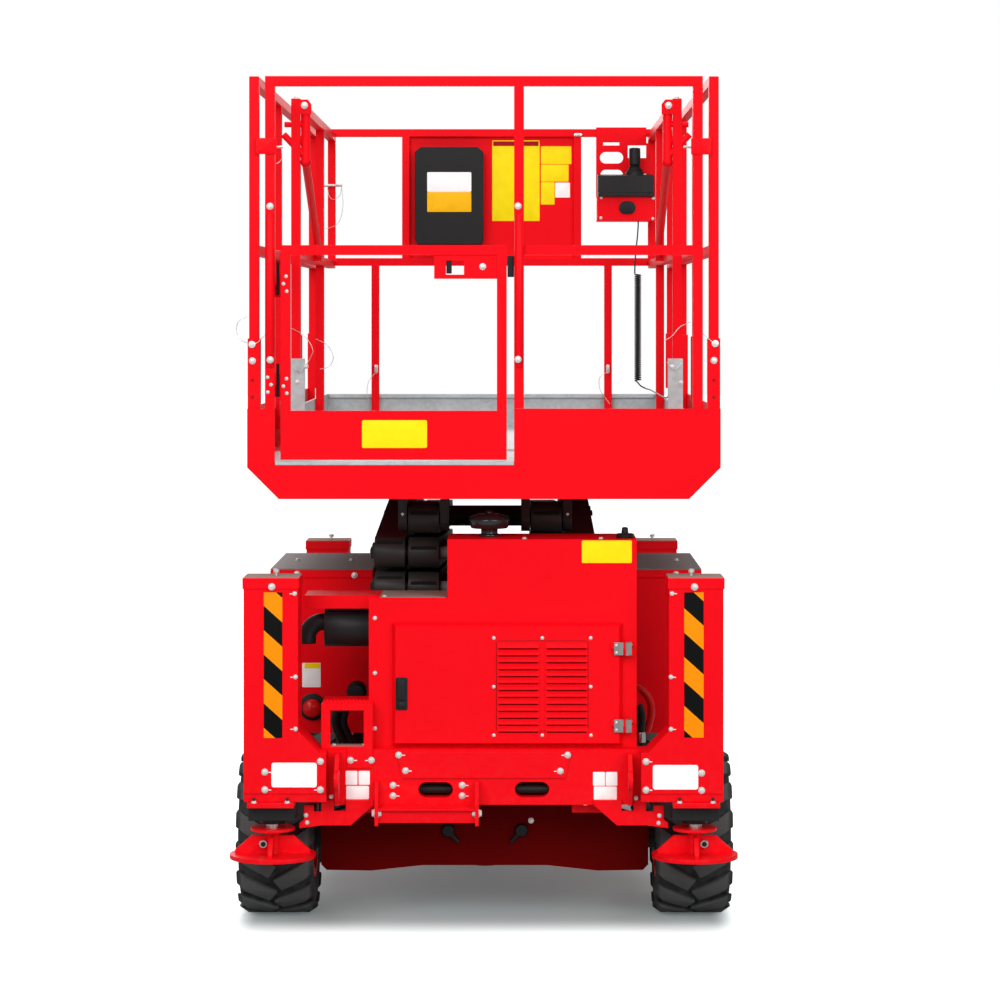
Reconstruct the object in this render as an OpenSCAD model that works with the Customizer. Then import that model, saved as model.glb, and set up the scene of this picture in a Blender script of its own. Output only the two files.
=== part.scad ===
// Compact rough terrain scissor lift, stowed, with levelling jacks and a roll-out platform.
// Millimetres. X to the right seen from behind, Y to the front, Z up, origin on the ground.

/* [Platform] */
// Length of the main platform
platform_l = 2600; // [2560:10:2660]
// Width of the main platform over its side walls
platform_w = 1350; // [1330:5:1390]
// Height of the guard rails above the deck floor
rail_h = 1100; // [1000:10:1200]
// Side of the square rail tubes
tube = 28; // [25:1:32]
// Height of the kick walls above the deck floor
wall_h = 152; // [140:1:170]
// Thickness of the sheet walls
sheet = 5; // [4:0.5:6]
// Height of the deck frame under the floor
deck_h = 106; // [100:1:120]

/* [Entry gate] */
// Left edge of the gate opening
gate_x0 = -596; // [-600:1:-590]
// Right edge of the gate opening
gate_x1 = 86; // [70:1:100]
// Height of the middle rails above the deck floor
mid_rail_h = 618; // [580:1:640]

/* [Extension deck] */
// Width of the extension deck over its rails
ext_w = 1200; // [1180:5:1210]
// Length of the extension deck
ext_l = 1910; // [1900:10:2000]

/* [Scissor] */
// Distance between the end pins of an arm
arm_l = 1900; // [1880:5:1920]
// Height of an arm
arm_h = 88; // [80:1:90]
// Width of an arm
arm_w = 90; // [84:1:92]
// Rise of one level when stowed
level_rise = 103; // [100:1:108]
// Diameter of the pivot shafts
shaft_d = 36; // [30:1:40]
// Height of the lowest pivots
base_pin_z = 755; // [750:1:770]
// Diameter of the end rollers
roller_d = 70; // [60:1:80]
// Radial clearance of the pivots
run_clear = 0.05; // [0.02:0.01:0.1]

/* [Wheels] */
// Diameter of a tyre over its lugs
tyre_d = 480; // [470:2:490]
// Width of a tyre
tyre_w = 225; // [210:1:230]
// Height of a tread lug
lug_h = 18; // [12:1:22]
// Number of tread lugs on each side of a tyre
lug_count = 16; // [12:1:20]
// Diameter of the rim's bead seat
rim_d = 256; // [244:2:264]
// Distance between the wheel centres across the machine
track = 1215; // [1205:5:1230]
// Distance between the axles
wheelbase = 1760; // [1740:5:1780]

/* [Jacks] */
// Width of a jack housing
housing_w = 154; // [146:1:160]
// Depth of a jack housing
housing_d = 150; // [140:1:160]
// Height of the top of the rear jack housings
housing_top_rear = 1024; // [990:1:1040]
// Height of the top of the front jack housings
housing_top_front = 941; // [920:1:960]
// Diameter of a jack rod
jack_d = 40; // [36:1:44]
// Diameter of a jack pad
pad_w = 244; // [230:1:250]
// Height of the raised pads above the ground
pad_z = 224; // [210:1:230]

/* [Chassis and covers] */
// Height of the top of the chassis
chassis_top = 530; // [526:1:534]
// Height of the chassis side members
member_h = 190; // [170:1:200]
// Width of a chassis side member
member_w = 90; // [80:1:100]
// Height of the engine cover's top
cover_top = 1124; // [1110:1:1130]
// Height of the step in the engine cover's top
cover_step = 957; // [940:1:970]
// Height of the engine door
door_h = 350; // [320:1:360]
// Width of the engine door
door_w = 659; // [640:1:665]
// Height of the top of the side boxes
side_box_top = 998; // [960:1:1010]
// Number of louvres in each column of the engine door
louvre_rows = 13; // [9:1:13]

/* [Hidden] */
$fn = 64;

red = "#e0101c";
charcoal = "#3a3a3c";
black = "#181818";
grey = "#b4b8bc";
seat_gap = 0.3;
eps = 0.5;

// Scissor stack
levels = 4;
stow_angle = asin(level_rise / arm_l);
scissor_rear_y = -960;
boss_d = arm_h + 4;
inner_x0 = 136;
arm_gap = 10;
outer_x0 = inner_x0 + arm_w + arm_gap;
outer_x1 = outer_x0 + arm_w;
keeper_t = 7;
shaft_end = outer_x1 + keeper_t;
function pin_z(k) = base_pin_z + k * level_rise;
top_pin_z = pin_z(levels);
lug_t = 26;
lug_gap = 4;
roller_w = 50;
track_z = base_pin_z - roller_d / 2 - seat_gap;
cross_tube_d = 60;

// Platform heights
pin_to_frame = 74;
frame_z = top_pin_z + pin_to_frame;
deck_z = frame_z + deck_h;
wall_z = deck_z + wall_h;
rail_z = deck_z + rail_h;
mid_z = deck_z + mid_rail_h;
half_l = platform_l / 2;
half_w = platform_w / 2;
floor_t = 20;
front_beam = 60;
member_drop = 40;
corner_cut = 90;
rail_x = half_w - 5;
sleeve = tube + 8;
sleeve_h = 200;

// Chassis
chassis_half = shaft_end + 9;
member_z0 = chassis_top - member_h;
beam_h = 157;
beam_z0 = chassis_top - beam_h;
beam_d = 70;
jack_y = 1320;
jack_x = 600;
housing_y0 = jack_y - housing_d / 2;
beam_y1 = housing_y0 + housing_d / 2;
beam_y0 = beam_y1 - beam_d;
foot_w = 79;
foot_rise = 62;
foot_flat = 20;
housing_x0 = jack_x - housing_w / 2;
housing_x1 = jack_x + housing_w / 2;
foot_x0 = housing_x0 - foot_w;
housing_z0 = chassis_top - 139;
flange_t = 14;
flange_z0 = housing_z0 - flange_t;
foot_z1 = chassis_top;

// Wheels and steering
rear_axle_y = -940;
front_axle_y = rear_axle_y + wheelbase;
axle_z = tyre_d / 2;
wheel_x = track / 2;
hub_x0 = wheel_x - 60;
spindle_d = 50;
kingpin_inset = 152.5;
kingpin_x = wheel_x - kingpin_inset;
kingpin_d = 30;
yoke_r = 33;
yoke_z = 60;
steer_arm = 115;
steer_y = front_axle_y - steer_arm;
steer_z = axle_z - 29;
rod_z = steer_z + 20;

// Engine cover and door
cover_x0 = -302;
cover_x1 = 437;
cover_step_x = -105;
cover_y0 = -1262;
cover_y1 = -1022;
cover_t = 6;
door_x1 = 396;
door_x0 = door_x1 - door_w;
door_z0 = chassis_top + 6;
door_t = 26;
door_lap = 20;
door_y1 = cover_y0 - seat_gap;
door_y0 = door_y1 - door_t;
door_hinge = [door_x1 + 14, door_y0 - 3];
door_hinge_z = [door_z0 + 40, door_z0 + door_h - 90];
hinge_pin_d = 8;
hinge_h = 17;

// Louvres, muffler shelf and engine
louvre_pitch = 19.8;
louvre_w = 120;
louvre_gap = 18;
louvre_x1 = door_x1 - 100;
louvre_z0 = door_z0 + 48;
louvre_out = 8;
shelf_x0 = -518;
shelf_y0 = -1190;
shelf_h = 38;
bay_post_w = 28;
engine_w = 540;
engine_d = 200;
engine_h = 370;
engine_x0 = -210;
muffler_d = 112;
muffler_l = 162;
muffler_y = -1120;
muffler_z = 859;
pipe_d = 50;
pipe_bend = 45;
pipe_rise = 15;

// Lift cylinder
lift_foot = [0, 1190, 635];
lift_lug_u = 0.58;
lift_lug_reach = 90;
lift_lug_drop = 10;
lift_lug_x0 = 36;
lift_d = 95;
lift_rod_d = 50;
lift_eye_d = 80;

// Extension deck
ext_x = ext_w / 2;
ext_y1 = half_l;
ext_y0 = ext_y1 - ext_l;
ext_z = deck_z + seat_gap;
ext_floor_t = 8;
ext_wall_h = 130;
ext_sheet = 4;
upright_w = 43;
upright_h = 285;

// Gate
gate_hinge = [gate_x0 + 8, -half_l + tube + 4];
gate_y0 = -half_l;
gate_left = gate_x0 + 16;
gate_right = gate_x1 - 21;
gate_bottom = deck_z + 6;
gate_hinge_z = [deck_z + 185, deck_z + 470];

// Front rail and panel
panel_half = 300;
front_post_x = 412;
front_low_z = deck_z + 600;

// Control cable, hand laid
cable_d = 5;
coil_d = 26;
coil_top = [530, 1130, 1914];
coil_len = 385;
lead_top_points = [[532, 1150, 2107], [532, 1150, 2090], [530, 1148, 2060], [526, 1144, 2020],
    [522, 1140, 1980], [524, 1134, 1950], [529, 1130, 1930], [530, 1130, 1914]];
lead_low_points = [[530, 1130, 1529], [530, 1129, 1515], [534, 1120, 1503], [545, 1100, 1499],
    [558, 1060, 1500], [564, 1000, 1501], [566, 900, 1501], [566, 700, 1501], [566, 500, 1501],
    [566, 300, 1501], [566, 100, 1501], [566, -100, 1502], [566, -300, 1504], [566, -410, 1510],
    [566, -500, 1522], [567, -550, 1534], [569, -580, 1540]];

// Helpers
module box(a, b) { translate(a) cube(b - a); }
module both_x() { children(); mirror([1, 0, 0]) children(); }
module cyl_x(d, x0, x1) { translate([x0, 0, 0]) rotate([0, 90, 0]) cylinder(d = d, h = x1 - x0); }
module cyl_y(d, y0, y1) { translate([0, y0, 0]) rotate([-90, 0, 0]) cylinder(d = d, h = y1 - y0); }
module cyl_z(d, z0, z1) { translate([0, 0, z0]) cylinder(d = d, h = z1 - z0); }
// Outline in Y and Z, carried along X
module along_x(x0, x1) { translate([x0, 0, 0]) rotate([90, 0, 90]) linear_extrude(x1 - x0) children(); }
// Outline in X and Z, carried along Y
module along_y(y0, y1) { translate([0, y1, 0]) rotate([90, 0, 0]) linear_extrude(y1 - y0) children(); }

// Tube swept along a list of points, with flat ends
function unit(v) = v / norm(v);
function tangent(p, i) = unit(p[min(i + 1, len(p) - 1)] - p[max(i - 1, 0)]);
function side_dir(t) = unit(cross(t, abs(t[2]) < 0.9 ? [0, 0, 1] : [0, 1, 0]));
function tube_ring(p, t, r, n) = let (u = side_dir(t), v = cross(u, t))
    [for (j = [0 : n - 1]) p + r * (cos(360 * j / n) * u + sin(360 * j / n) * v)];
module swept_tube(points, d, sides) {
    n = len(points);
    rings = [for (i = [0 : n - 1]) tube_ring(points[i], tangent(points, i), d / 2, sides)];
    verts = [for (ring = rings) each ring];
    skin = [for (i = [0 : n - 2]) for (j = [0 : sides - 1])
        let (a = i * sides + j, b = i * sides + (j + 1) % sides) [a, b, b + sides, a + sides]];
    foot = [for (j = [0 : sides - 1]) sides - 1 - j];
    head = [for (j = [0 : sides - 1]) (n - 1) * sides + j];
    polyhedron(points = verts, faces = concat([foot, head], skin), convexity = 4);
}

// Chassis
slot_x = 137;
slot_z = beam_z0 + 43;
slot_h = 44;
module beam_slot(x) {
    half = 27;
    translate([x, 0, slot_z]) {
        box([-half, beam_y0 - plate_t - 1, -slot_h / 2], [half, beam_y1 + plate_t + 1, slot_h / 2]);
        for (dx = [-half, half]) translate([dx, 0, 0])
            cyl_y(slot_h, beam_y0 - plate_t - 1, beam_y1 + plate_t + 1);
    }
}
module cross_beam() {
    difference() {
        box([-foot_x0, beam_y0, beam_z0], [foot_x0, beam_y1, chassis_top]);
        for (x = [-slot_x, slot_x]) beam_slot(x);
    }
    both_x() tie_down();
}
tie_x0 = 408;
tie_t = 12;
tie_reach = 92;
tie_z = chassis_top - 73;
tie_bore_d = 30;
module tie_down() {
    eye_r = 27;
    difference() {
        along_x(tie_x0, tie_x0 + tie_t) union() {
            polygon([[beam_y1 - 5, tie_z - 80], [beam_y1 + 45, tie_z - 80],
                [beam_y1 + tie_reach, tie_z - eye_r],
                [beam_y1 + tie_reach, tie_z + eye_r], [beam_y1 + 45, tie_z + 66], [beam_y1 - 5, tie_z + 66]]);
            translate([beam_y1 + tie_reach, tie_z]) circle(r = eye_r);
        }
        translate([0, beam_y1 + tie_reach, tie_z]) cyl_x(tie_bore_d, tie_x0 - 1, tie_x0 + tie_t + 1);
    }
}
// Plates bolted on the rear beam: a trapezoid cover, hook ledges under the lugs and sensor brackets
plate_t = 6;
cover_plate_top = 249;
cover_plate_low = 232;
ledge_z0 = beam_z0 - 57;
module beam_plates() color(red) {
    z = [chassis_top - 81, chassis_top - 7];
    along_y(-beam_y1 - plate_t, -beam_y1) polygon([[-cover_plate_top, z[1]], [cover_plate_top, z[1]],
        [cover_plate_low, z[0]], [-cover_plate_low, z[0]]]);
    both_x() along_y(-beam_y1 - 2 * plate_t, -beam_y1) difference() {
        polygon([[foot_x0 - seat_gap, beam_z0 + 15], [313, beam_z0 + 15], [313, beam_z0], [378, ledge_z0],
            [461, ledge_z0], [524, ledge_z0 - 8], [524, ledge_z0 + 8], [511, ledge_z0 + 16],
            [511, beam_z0], [483, beam_z0], [483, beam_z0 - 17], [461, beam_z0 - 17],
            [461, housing_z0 - seat_gap],
            [foot_x0 - seat_gap, housing_z0 - seat_gap]]);
        translate([tie_x0 - 16, beam_z0 - 16]) square([34, 60]);
    }
}
module guard_plate() {
    along_y(rear_axle_y - 130, rear_axle_y - 118)
        polygon([[-340, member_z0 + eps], [-478, 300], [-478, 160], [-462, 144], [-330, 142], [-180, 158],
            [180, 158], [330, 142], [462, 144], [478, 160], [478, 300], [340, member_z0 + eps]]);
}
module chassis_frame() color(red) {
    both_x() box([chassis_half - member_w, -beam_y0 - eps, member_z0],
        [chassis_half, beam_y0 + eps, chassis_top]);
    cross_beam();
    mirror([0, 1, 0]) cross_beam();
    for (y = [-680, -60, 560])
        box([-chassis_half + 20, y - 50, member_z0 + 30], [chassis_half - 20, y + 50, chassis_top - 40]);
    box([-chassis_half + 10, -beam_y0 - eps, chassis_top - 12],
        [chassis_half - 10, cover_y1 + 40, chassis_top]);
    guard_plate();
}

// Axles
module axle_tower(y) {
    both_x() translate([0, y, 0])
        along_y(-45, 45) polygon([[chassis_half - 84, axle_z], [chassis_half - 76, member_z0],
            [chassis_half - 8, member_z0], [chassis_half, axle_z]]);
}
module rear_axle() color(charcoal) {
    translate([0, rear_axle_y, axle_z]) {
        cyl_x(104, -hub_x0 + 26, hub_x0 - 26);
        both_x() {
            cyl_x(150, hub_x0 - 50, hub_x0 - 1);
            cyl_x(spindle_d, hub_x0 - 2, hub_x0 + 78);
        }
        rotate_extrude() polygon([[0, -100], [40, -100], [105, -40], [105, 40], [40, 92], [0, 92]]);
    }
    axle_tower(rear_axle_y);
}
module yoke_plate(z0, z1) {
    difference() {
        union() {
            translate([kingpin_x, 0, 0]) cyl_z(2 * yoke_r, z0, z1);
            box([kingpin_x - 55, -yoke_r, z0], [kingpin_x, yoke_r, z1]);
        }
        translate([kingpin_x, 0, 0]) cyl_z(kingpin_d + 2 * run_clear, z0 - 1, z1 + 1);
    }
}
module front_axle() color(charcoal) {
    translate([0, front_axle_y, axle_z]) {
        box([-kingpin_x + 45, -40, -40], [kingpin_x - 45, 40, 40]);
        both_x() {
            yoke_plate(yoke_z, yoke_z + 15);
            yoke_plate(-yoke_z - 15, -yoke_z);
            box([kingpin_x - 55, -yoke_r, -yoke_z - 15], [kingpin_x - 37, yoke_r, yoke_z + 15]);
        }
    }
    axle_tower(front_axle_y);
}
module knuckle(side) color(charcoal) {
    translate([0, front_axle_y, 0]) mirror([side < 0 ? 1 : 0, 0, 0]) {
        translate([kingpin_x, 0, axle_z]) {
            cyl_z(58, -yoke_z + 2, yoke_z - 2);
            cyl_z(kingpin_d, -yoke_z - 18, yoke_z + 22);
            box([0, -26, -48], [45, 26, 48]);
        }
        translate([0, 0, axle_z]) {
            cyl_x(150, kingpin_x + 41, hub_x0 - 1);
            cyl_x(spindle_d, hub_x0 - 2, hub_x0 + 78);
        }
        translate([kingpin_x, 0, steer_z]) difference() {
            union() {
                box([-11, -steer_arm, -6], [11, 0, 6]);
                translate([0, -steer_arm, 0]) cyl_z(40, -6, 6);
            }
            translate([0, -steer_arm, 0]) cyl_z(16, -7, 7);
        }
    }
}
module knuckle_left() { knuckle(-1); }
module knuckle_right() { knuckle(1); }
module steering_cylinder() color(black) {
    translate([0, steer_y, rod_z]) difference() {
        union() {
            cyl_x(56, -170, 170);
            both_x() cyl_x(66, 150, 176);
            both_x() box([90, 0, -18], [130, steer_arm - 40, 18]);
        }
        cyl_x(28 + 2 * run_clear, -180, 180);
    }
}
module steering_rod() color(grey) {
    translate([0, steer_y, rod_z]) {
        cyl_x(28, -kingpin_x + 22, kingpin_x - 22);
        both_x() translate([kingpin_x, 0, 0]) difference() {
            union() {
                cyl_z(40, -11, 9);
                box([-26, -10, -9], [-12, 10, 9]);
            }
            cyl_z(16, -12, 10);
        }
    }
}

// Wheels
tyre_r = tyre_d / 2;
bead_r = rim_d / 2;
bead_half = tyre_w / 2 - 13;
tread_r = tyre_r - lug_h;
lug_w = 44;
lug_slant = 32;
lug_root = 14;
lug_pitch = 360 / lug_count;
module tyre_carcass() {
    shoulder = 30;
    mid_r = (tread_r + bead_r) / 2;
    half = [[bead_r + seat_gap, bead_half - seat_gap], [bead_r + 18, bead_half - seat_gap],
        [mid_r, tyre_w / 2 - 4], [mid_r + 14, tyre_w / 2 - 4],
        each [for (a = [10 : 20 : 70]) [tread_r - shoulder + shoulder * sin(a),
            tyre_w / 2 - 4 - shoulder + shoulder * cos(a)]],
        [tread_r, tyre_w / 2 - shoulder - 12]];
    profile = concat(half, [for (i = [len(half) - 1 : -1 : 0]) [half[i][0], -half[i][1]]]);
    rotate([0, 90, 0]) rotate_extrude($fn = 96) polygon(profile);
}
// Envelope of the lugs, chamfered at the shoulders
module tread_ring() {
    w = tyre_w / 2;
    r0 = tread_r - lug_root;
    rotate([0, 90, 0]) rotate_extrude($fn = 96) polygon([[r0, -w], [tyre_r - 16, -w], [tyre_r, -w + 24],
        [tyre_r, w - 24], [tyre_r - 16, w], [r0, w]]);
}
module lug() {
    translate([0, 0, tread_r - lug_root]) rotate([0, 0, lug_slant])
        box([8, -lug_w / 2, 0], [tyre_w, lug_w / 2, lug_h + 2 * lug_root]);
}
module tyre() color(black) {
    tyre_carcass();
    intersection() {
        tread_ring();
        for (i = [0 : lug_count - 1]) {
            rotate([i * lug_pitch, 0, 0]) lug();
            rotate([(i + 0.5) * lug_pitch, 0, 0]) mirror([1, 0, 0]) lug();
        }
    }
}
module rim() color(red) {
    lip_r = bead_r + 9;
    rotate([0, 90, 0]) difference() {
        union() {
            rotate_extrude($fn = 96) polygon([[bead_r - 10, -bead_half - 6], [lip_r, -bead_half - 6],
                [lip_r, -bead_half],
                [bead_r, -bead_half], [bead_r, bead_half], [lip_r, bead_half], [lip_r, bead_half + 6],
                [bead_r - 10, bead_half + 6], [bead_r - 10, 34], [88, 44], [56, 44], [56, 62], [0, 62],
                [0, -60], [52, -60], [60, 26], [84, 34], [bead_r - 10, 22]]);
        }
        translate([0, 0, -61]) cylinder(d = spindle_d + 2 * run_clear, h = 61 + 20);
    }
}
module at_wheel(side, y) {
    translate([side * wheel_x, y, axle_z]) mirror([side < 0 ? 1 : 0, 0, 0]) children();
}
module tyre_rear_left() { at_wheel(-1, rear_axle_y) tyre(); }
module tyre_rear_right() { at_wheel(1, rear_axle_y) tyre(); }
module tyre_front_left() { at_wheel(-1, front_axle_y) tyre(); }
module tyre_front_right() { at_wheel(1, front_axle_y) tyre(); }
module rim_rear_left() { at_wheel(-1, rear_axle_y) rim(); }
module rim_rear_right() { at_wheel(1, rear_axle_y) rim(); }
module rim_front_left() { at_wheel(-1, front_axle_y) rim(); }
module rim_front_right() { at_wheel(1, front_axle_y) rim(); }

// Engine and covers
module engine_block() color(charcoal) {
    translate([engine_x0, cover_y1 - 10 - engine_d, chassis_top]) cube([engine_w, engine_d, engine_h]);
}
module cover_outline(t) {
    polygon([[cover_x0 + t, chassis_top], [cover_x0 + t, cover_step - t], [cover_step_x + t, cover_step - t],
        [cover_step_x + t, cover_top - t], [cover_x1 - t, cover_top - t], [cover_x1 - t, chassis_top]]);
}
module engine_cover() color(red) {
    difference() {
        along_y(cover_y0, cover_y1) cover_outline(0);
        difference() {
            along_y(cover_y0 + cover_t, cover_y1 + 1) cover_outline(cover_t);
            box([cover_x0, cover_y1 - 60, cover_step], [cover_step_x + cover_t, cover_y1 + 2, cover_top]);
        }
        box([cover_x0 + cover_t, cover_y0 + cover_t, chassis_top - 1],
            [cover_x1 - cover_t, cover_y1 + 1, chassis_top + 1]);
        box([door_x0 + door_lap, cover_y0 - 1, door_z0 + door_lap],
            [door_x1 - door_lap, cover_y0 + cover_t + 1, door_z0 + door_h - door_lap]);
    }
    box([cover_x0 - bay_post_w, cover_y0, chassis_top], [cover_x0 + 1, cover_y0 + cover_t, cover_step]);
    box([shelf_x0, shelf_y0, cover_step - cover_t], [cover_x0 + 1, cover_y1, cover_step]);
    box([shelf_x0, shelf_y0, cover_step - shelf_h], [cover_x0 + 1, shelf_y0 + cover_t, cover_step]);
    for (z = door_hinge_z) difference() {
        box([door_x1 + 4, door_y0 - 10, z], [door_x1 + 30, cover_y0 + 1, z + hinge_h]);
        translate(door_hinge) cyl_z(hinge_pin_d + 2 * run_clear, z - 1, z + hinge_h + 1);
    }
}
// Pressed hood that opens downwards
module louvre() {
    along_x(0, louvre_w) polygon([[1, -2], [-louvre_out, -6], [-louvre_out, -4], [1, 9]]);
}
module louvre_slot() {
    box([5, -1, -8], [louvre_w - 5, 6, -3]);
}
module at_louvres() {
    for (column = [0, 1]) for (row = [0 : louvre_rows - 1])
        translate([louvre_x1 - louvre_w - column * (louvre_w + louvre_gap), door_y0,
            louvre_z0 + row * louvre_pitch]) children();
}
module engine_door() color(red) {
    y1 = door_y1;
    y0 = door_y0;
    difference() {
        hull() {
            box([door_x0, y1 - 4, door_z0], [door_x1, y1, door_z0 + door_h]);
            box([door_x0 + 10, y0, door_z0 + 8], [door_x1 - 10, y1, door_z0 + door_h - 8]);
        }
        box([door_x0 + 14, y0 + 4, door_z0 + 12], [door_x1 - 14, y1 + 1, door_z0 + door_h - 12]);
        at_louvres() louvre_slot();
    }
    at_louvres() louvre();
    for (z = door_hinge_z) {
        translate(door_hinge) cyl_z(hinge_pin_d, z + 1, z + hinge_h + 1);
        translate(door_hinge) cyl_z(14, z + hinge_h + seat_gap, z + 2 * hinge_h);
        box([door_x1 - 34, door_y0 - 8, z + hinge_h + seat_gap],
            [door_hinge[0], door_y0 + 1, z + 2 * hinge_h]);
    }
}
module air_precleaner() color(black) {
    translate([14, -1140, cover_top]) rotate_extrude() polygon([[0, 0], [30, 0], [30, 6], [24, 8], [24, 22],
        [52, 24], [58, 34], [60, 50], [54, 58], [30, 66], [12, 66], [12, 74], [0, 74]]);
}
module muffler() color(black) {
    translate([cover_x0 - muffler_l, muffler_y, muffler_z]) {
        cyl_x(muffler_d, 0, muffler_l);
        translate([0, 0, pipe_rise]) {
            cyl_x(pipe_d, -6, 1);
            translate([-6, 0, -pipe_bend]) rotate([90, 0, 0]) rotate([0, 0, 90])
                rotate_extrude(angle = 90) translate([pipe_bend, 0]) circle(d = pipe_d);
            translate([-6 - pipe_bend, 0, 0]) cyl_z(pipe_d, -pipe_bend - 18, -pipe_bend);
        }
    }
}

// Side boxes
side_box_x1 = 648;
side_box_y = [-735, -110, 460];
side_box_z0 = 500;
side_box_drop = 70;
flange_h = 28;
flange_out = 5;
lid_t = 4;
module side_box() color(red) {
    x0 = chassis_half;
    y = side_box_y;
    box([x0, y[0], side_box_z0], [side_box_x1, y[1], side_box_top - flange_h]);
    box([x0, y[1], side_box_z0], [side_box_x1 - 30, y[2], side_box_top - side_box_drop]);
    box([x0, y[0] - flange_out, side_box_top - flange_h],
        [side_box_x1 + flange_out, y[1] + flange_out, side_box_top - lid_t]);
}
module side_box_left() { mirror([1, 0, 0]) side_box(); }
module side_box_right() { side_box(); }
module side_box_lids() color(grey) {
    both_x() box([chassis_half, side_box_y[0] - flange_out, side_box_top - lid_t],
        [side_box_x1 + flange_out, side_box_y[1] + flange_out, side_box_top]);
}

step_x0 = -463;
step_l = 180;
step_h = 130;
step_leg_w = 26;
step_flange_x0 = -389;
step_flange_h = 52;
module entry_step() color(red) {
    x1 = cover_x0 - 14;
    y0 = -beam_y1 + 6;
    z0 = chassis_top;
    difference() {
        union() {
            box([step_x0, y0, z0 + step_h - 20], [x1, y0 + step_l, z0 + step_h]);
            box([step_x0, y0, z0], [x1, y0 + 60, z0 + 8]);
        }
        box([cover_x0 - bay_post_w - 4, cover_y0 - 4, z0 - 1], [x1 + 1, y0 + step_l + 1, z0 + step_h + 1]);
    }
    for (x = [step_x0, x1 - step_leg_w]) box([x, y0, z0], [x + step_leg_w, y0 + 8, z0 + step_h - 19]);
    box([step_flange_x0, -beam_y1 - plate_t, z0 - step_flange_h], [x1, -beam_y1, z0 + 8]);
    box([step_flange_x0, -beam_y1 - plate_t, z0], [x1, y0 + 1, z0 + 8]);
}
ladder_x = [-308, -14];
cheek_t = 10;
module ladder_bracket() color(red) {
    x0 = ladder_x[0];
    x1 = ladder_x[1];
    z1 = beam_z0 + 70;
    y0 = -beam_y1 - 68;
    difference() {
        box([x0, -beam_y1 - plate_t, beam_z0 - 4], [x1, -beam_y1, z1]);
        translate([0, -beam_y1 - beam_y0, 0]) beam_slot(-slot_x);
    }
    for (x = [x0, x1 - cheek_t]) along_x(x, x + cheek_t) polygon([[-beam_y1, z1], [-beam_y1 - 30, z1],
        [y0, beam_z0 + 10], [y0, beam_z0 - 50], [y0 + 24, beam_z0 - 50], [-beam_y1, beam_z0 - 10]]);
    box([x0 + cheek_t - 1, y0 + 6, beam_z0 - 8], [x1 - cheek_t + 1, -beam_y1 - 1, beam_z0 - 2]);
    box([x0 + cheek_t - 1, y0 + 20, beam_z0 - 44], [x1 - cheek_t + 1, y0 + 26, beam_z0 - 3]);
}

// Levelling jacks
jack_bore_z1 = 800;
cap_h = 31;
cap_out = 3;
cover_plate_z0 = housing_z0 + 24;
cover_plate_in = 5;
gland_w = 132;
gland_d = 100;
gland_h = 42;
gland_nose_d = 70;
gland_nose_h = 13;
module jack_housing(top) {
    difference() {
        union() {
            along_y(housing_y0, housing_y0 + housing_d) polygon([[housing_x1, housing_z0], [housing_x1, top],
                [housing_x0, top], [housing_x0, foot_z1 + foot_rise], [foot_x0 + foot_flat, foot_z1],
                [foot_x0, foot_z1], [foot_x0, housing_z0]]);
            box([housing_x0 - cap_out, housing_y0 - cap_out, top - cap_h],
                [housing_x1 + cap_out, housing_y0 + housing_d + cap_out, top]);
            translate([jack_x, jack_y, 0]) box([-gland_w / 2, -gland_d / 2 - 4, flange_z0],
                [gland_w / 2, gland_d / 2 + 4, housing_z0 + 1]);
        }
        translate([jack_x, jack_y, 0]) cyl_z(jack_d + 2 * seat_gap, flange_z0 - 1, jack_bore_z1);
        box([foot_x0 - 1, housing_y0 + housing_d - cover_plate_in, housing_z0 - 1],
            [housing_x1 + 1, housing_y0 + housing_d + 1, cover_plate_z0]);
    }
}
// Black gland under a housing, with a nose round the rod
module jack_gland() {
    translate([jack_x, jack_y, 0]) difference() {
        union() {
            box([-gland_w / 2, -gland_d / 2, flange_z0 - gland_h], [gland_w / 2, gland_d / 2, flange_z0]);
            cyl_z(gland_nose_d, flange_z0 - gland_h - gland_nose_h, flange_z0 - gland_h + 1);
        }
        cyl_z(jack_d + 2 * seat_gap, flange_z0 - gland_h - gland_nose_h - 1, flange_z0 + 1);
    }
}
module jack_glands_rear() color(black) { mirror([0, 1, 0]) both_x() jack_gland(); }
module jack_glands_front() color(black) { both_x() jack_gland(); }
module jack_housings_rear() color(red) { mirror([0, 1, 0]) both_x() jack_housing(housing_top_rear); }
module jack_housings_front() color(red) { both_x() jack_housing(housing_top_front); }
pad_t = 12;
gusset_h = 51;
gusset_t = 12;
collar_d = 125;
module jack() {
    half = 107;
    top_half = 60;
    z1 = pad_z + pad_t;
    translate([jack_x, jack_y, 0]) {
        cyl_z(jack_d, z1 - 1, jack_bore_z1 - 30);
        cyl_z(collar_d, pad_z + 78, pad_z + 86);
        cyl_z(pad_w, pad_z, z1);
        for (a = [0, 90]) rotate([0, 0, a]) along_y(-gusset_t / 2, gusset_t / 2)
            polygon([[-half, z1 - 1], [half, z1 - 1], [half, z1 + 10], [top_half, z1 + gusset_h],
                [-top_half, z1 + gusset_h], [-half, z1 + 10]]);
    }
}
module jack_rear_left() color(red) { mirror([0, 1, 0]) mirror([1, 0, 0]) jack(); }
module jack_rear_right() color(red) { mirror([0, 1, 0]) jack(); }
module jack_front_left() color(red) { mirror([1, 0, 0]) jack(); }
module jack_front_right() color(red) { jack(); }

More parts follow.
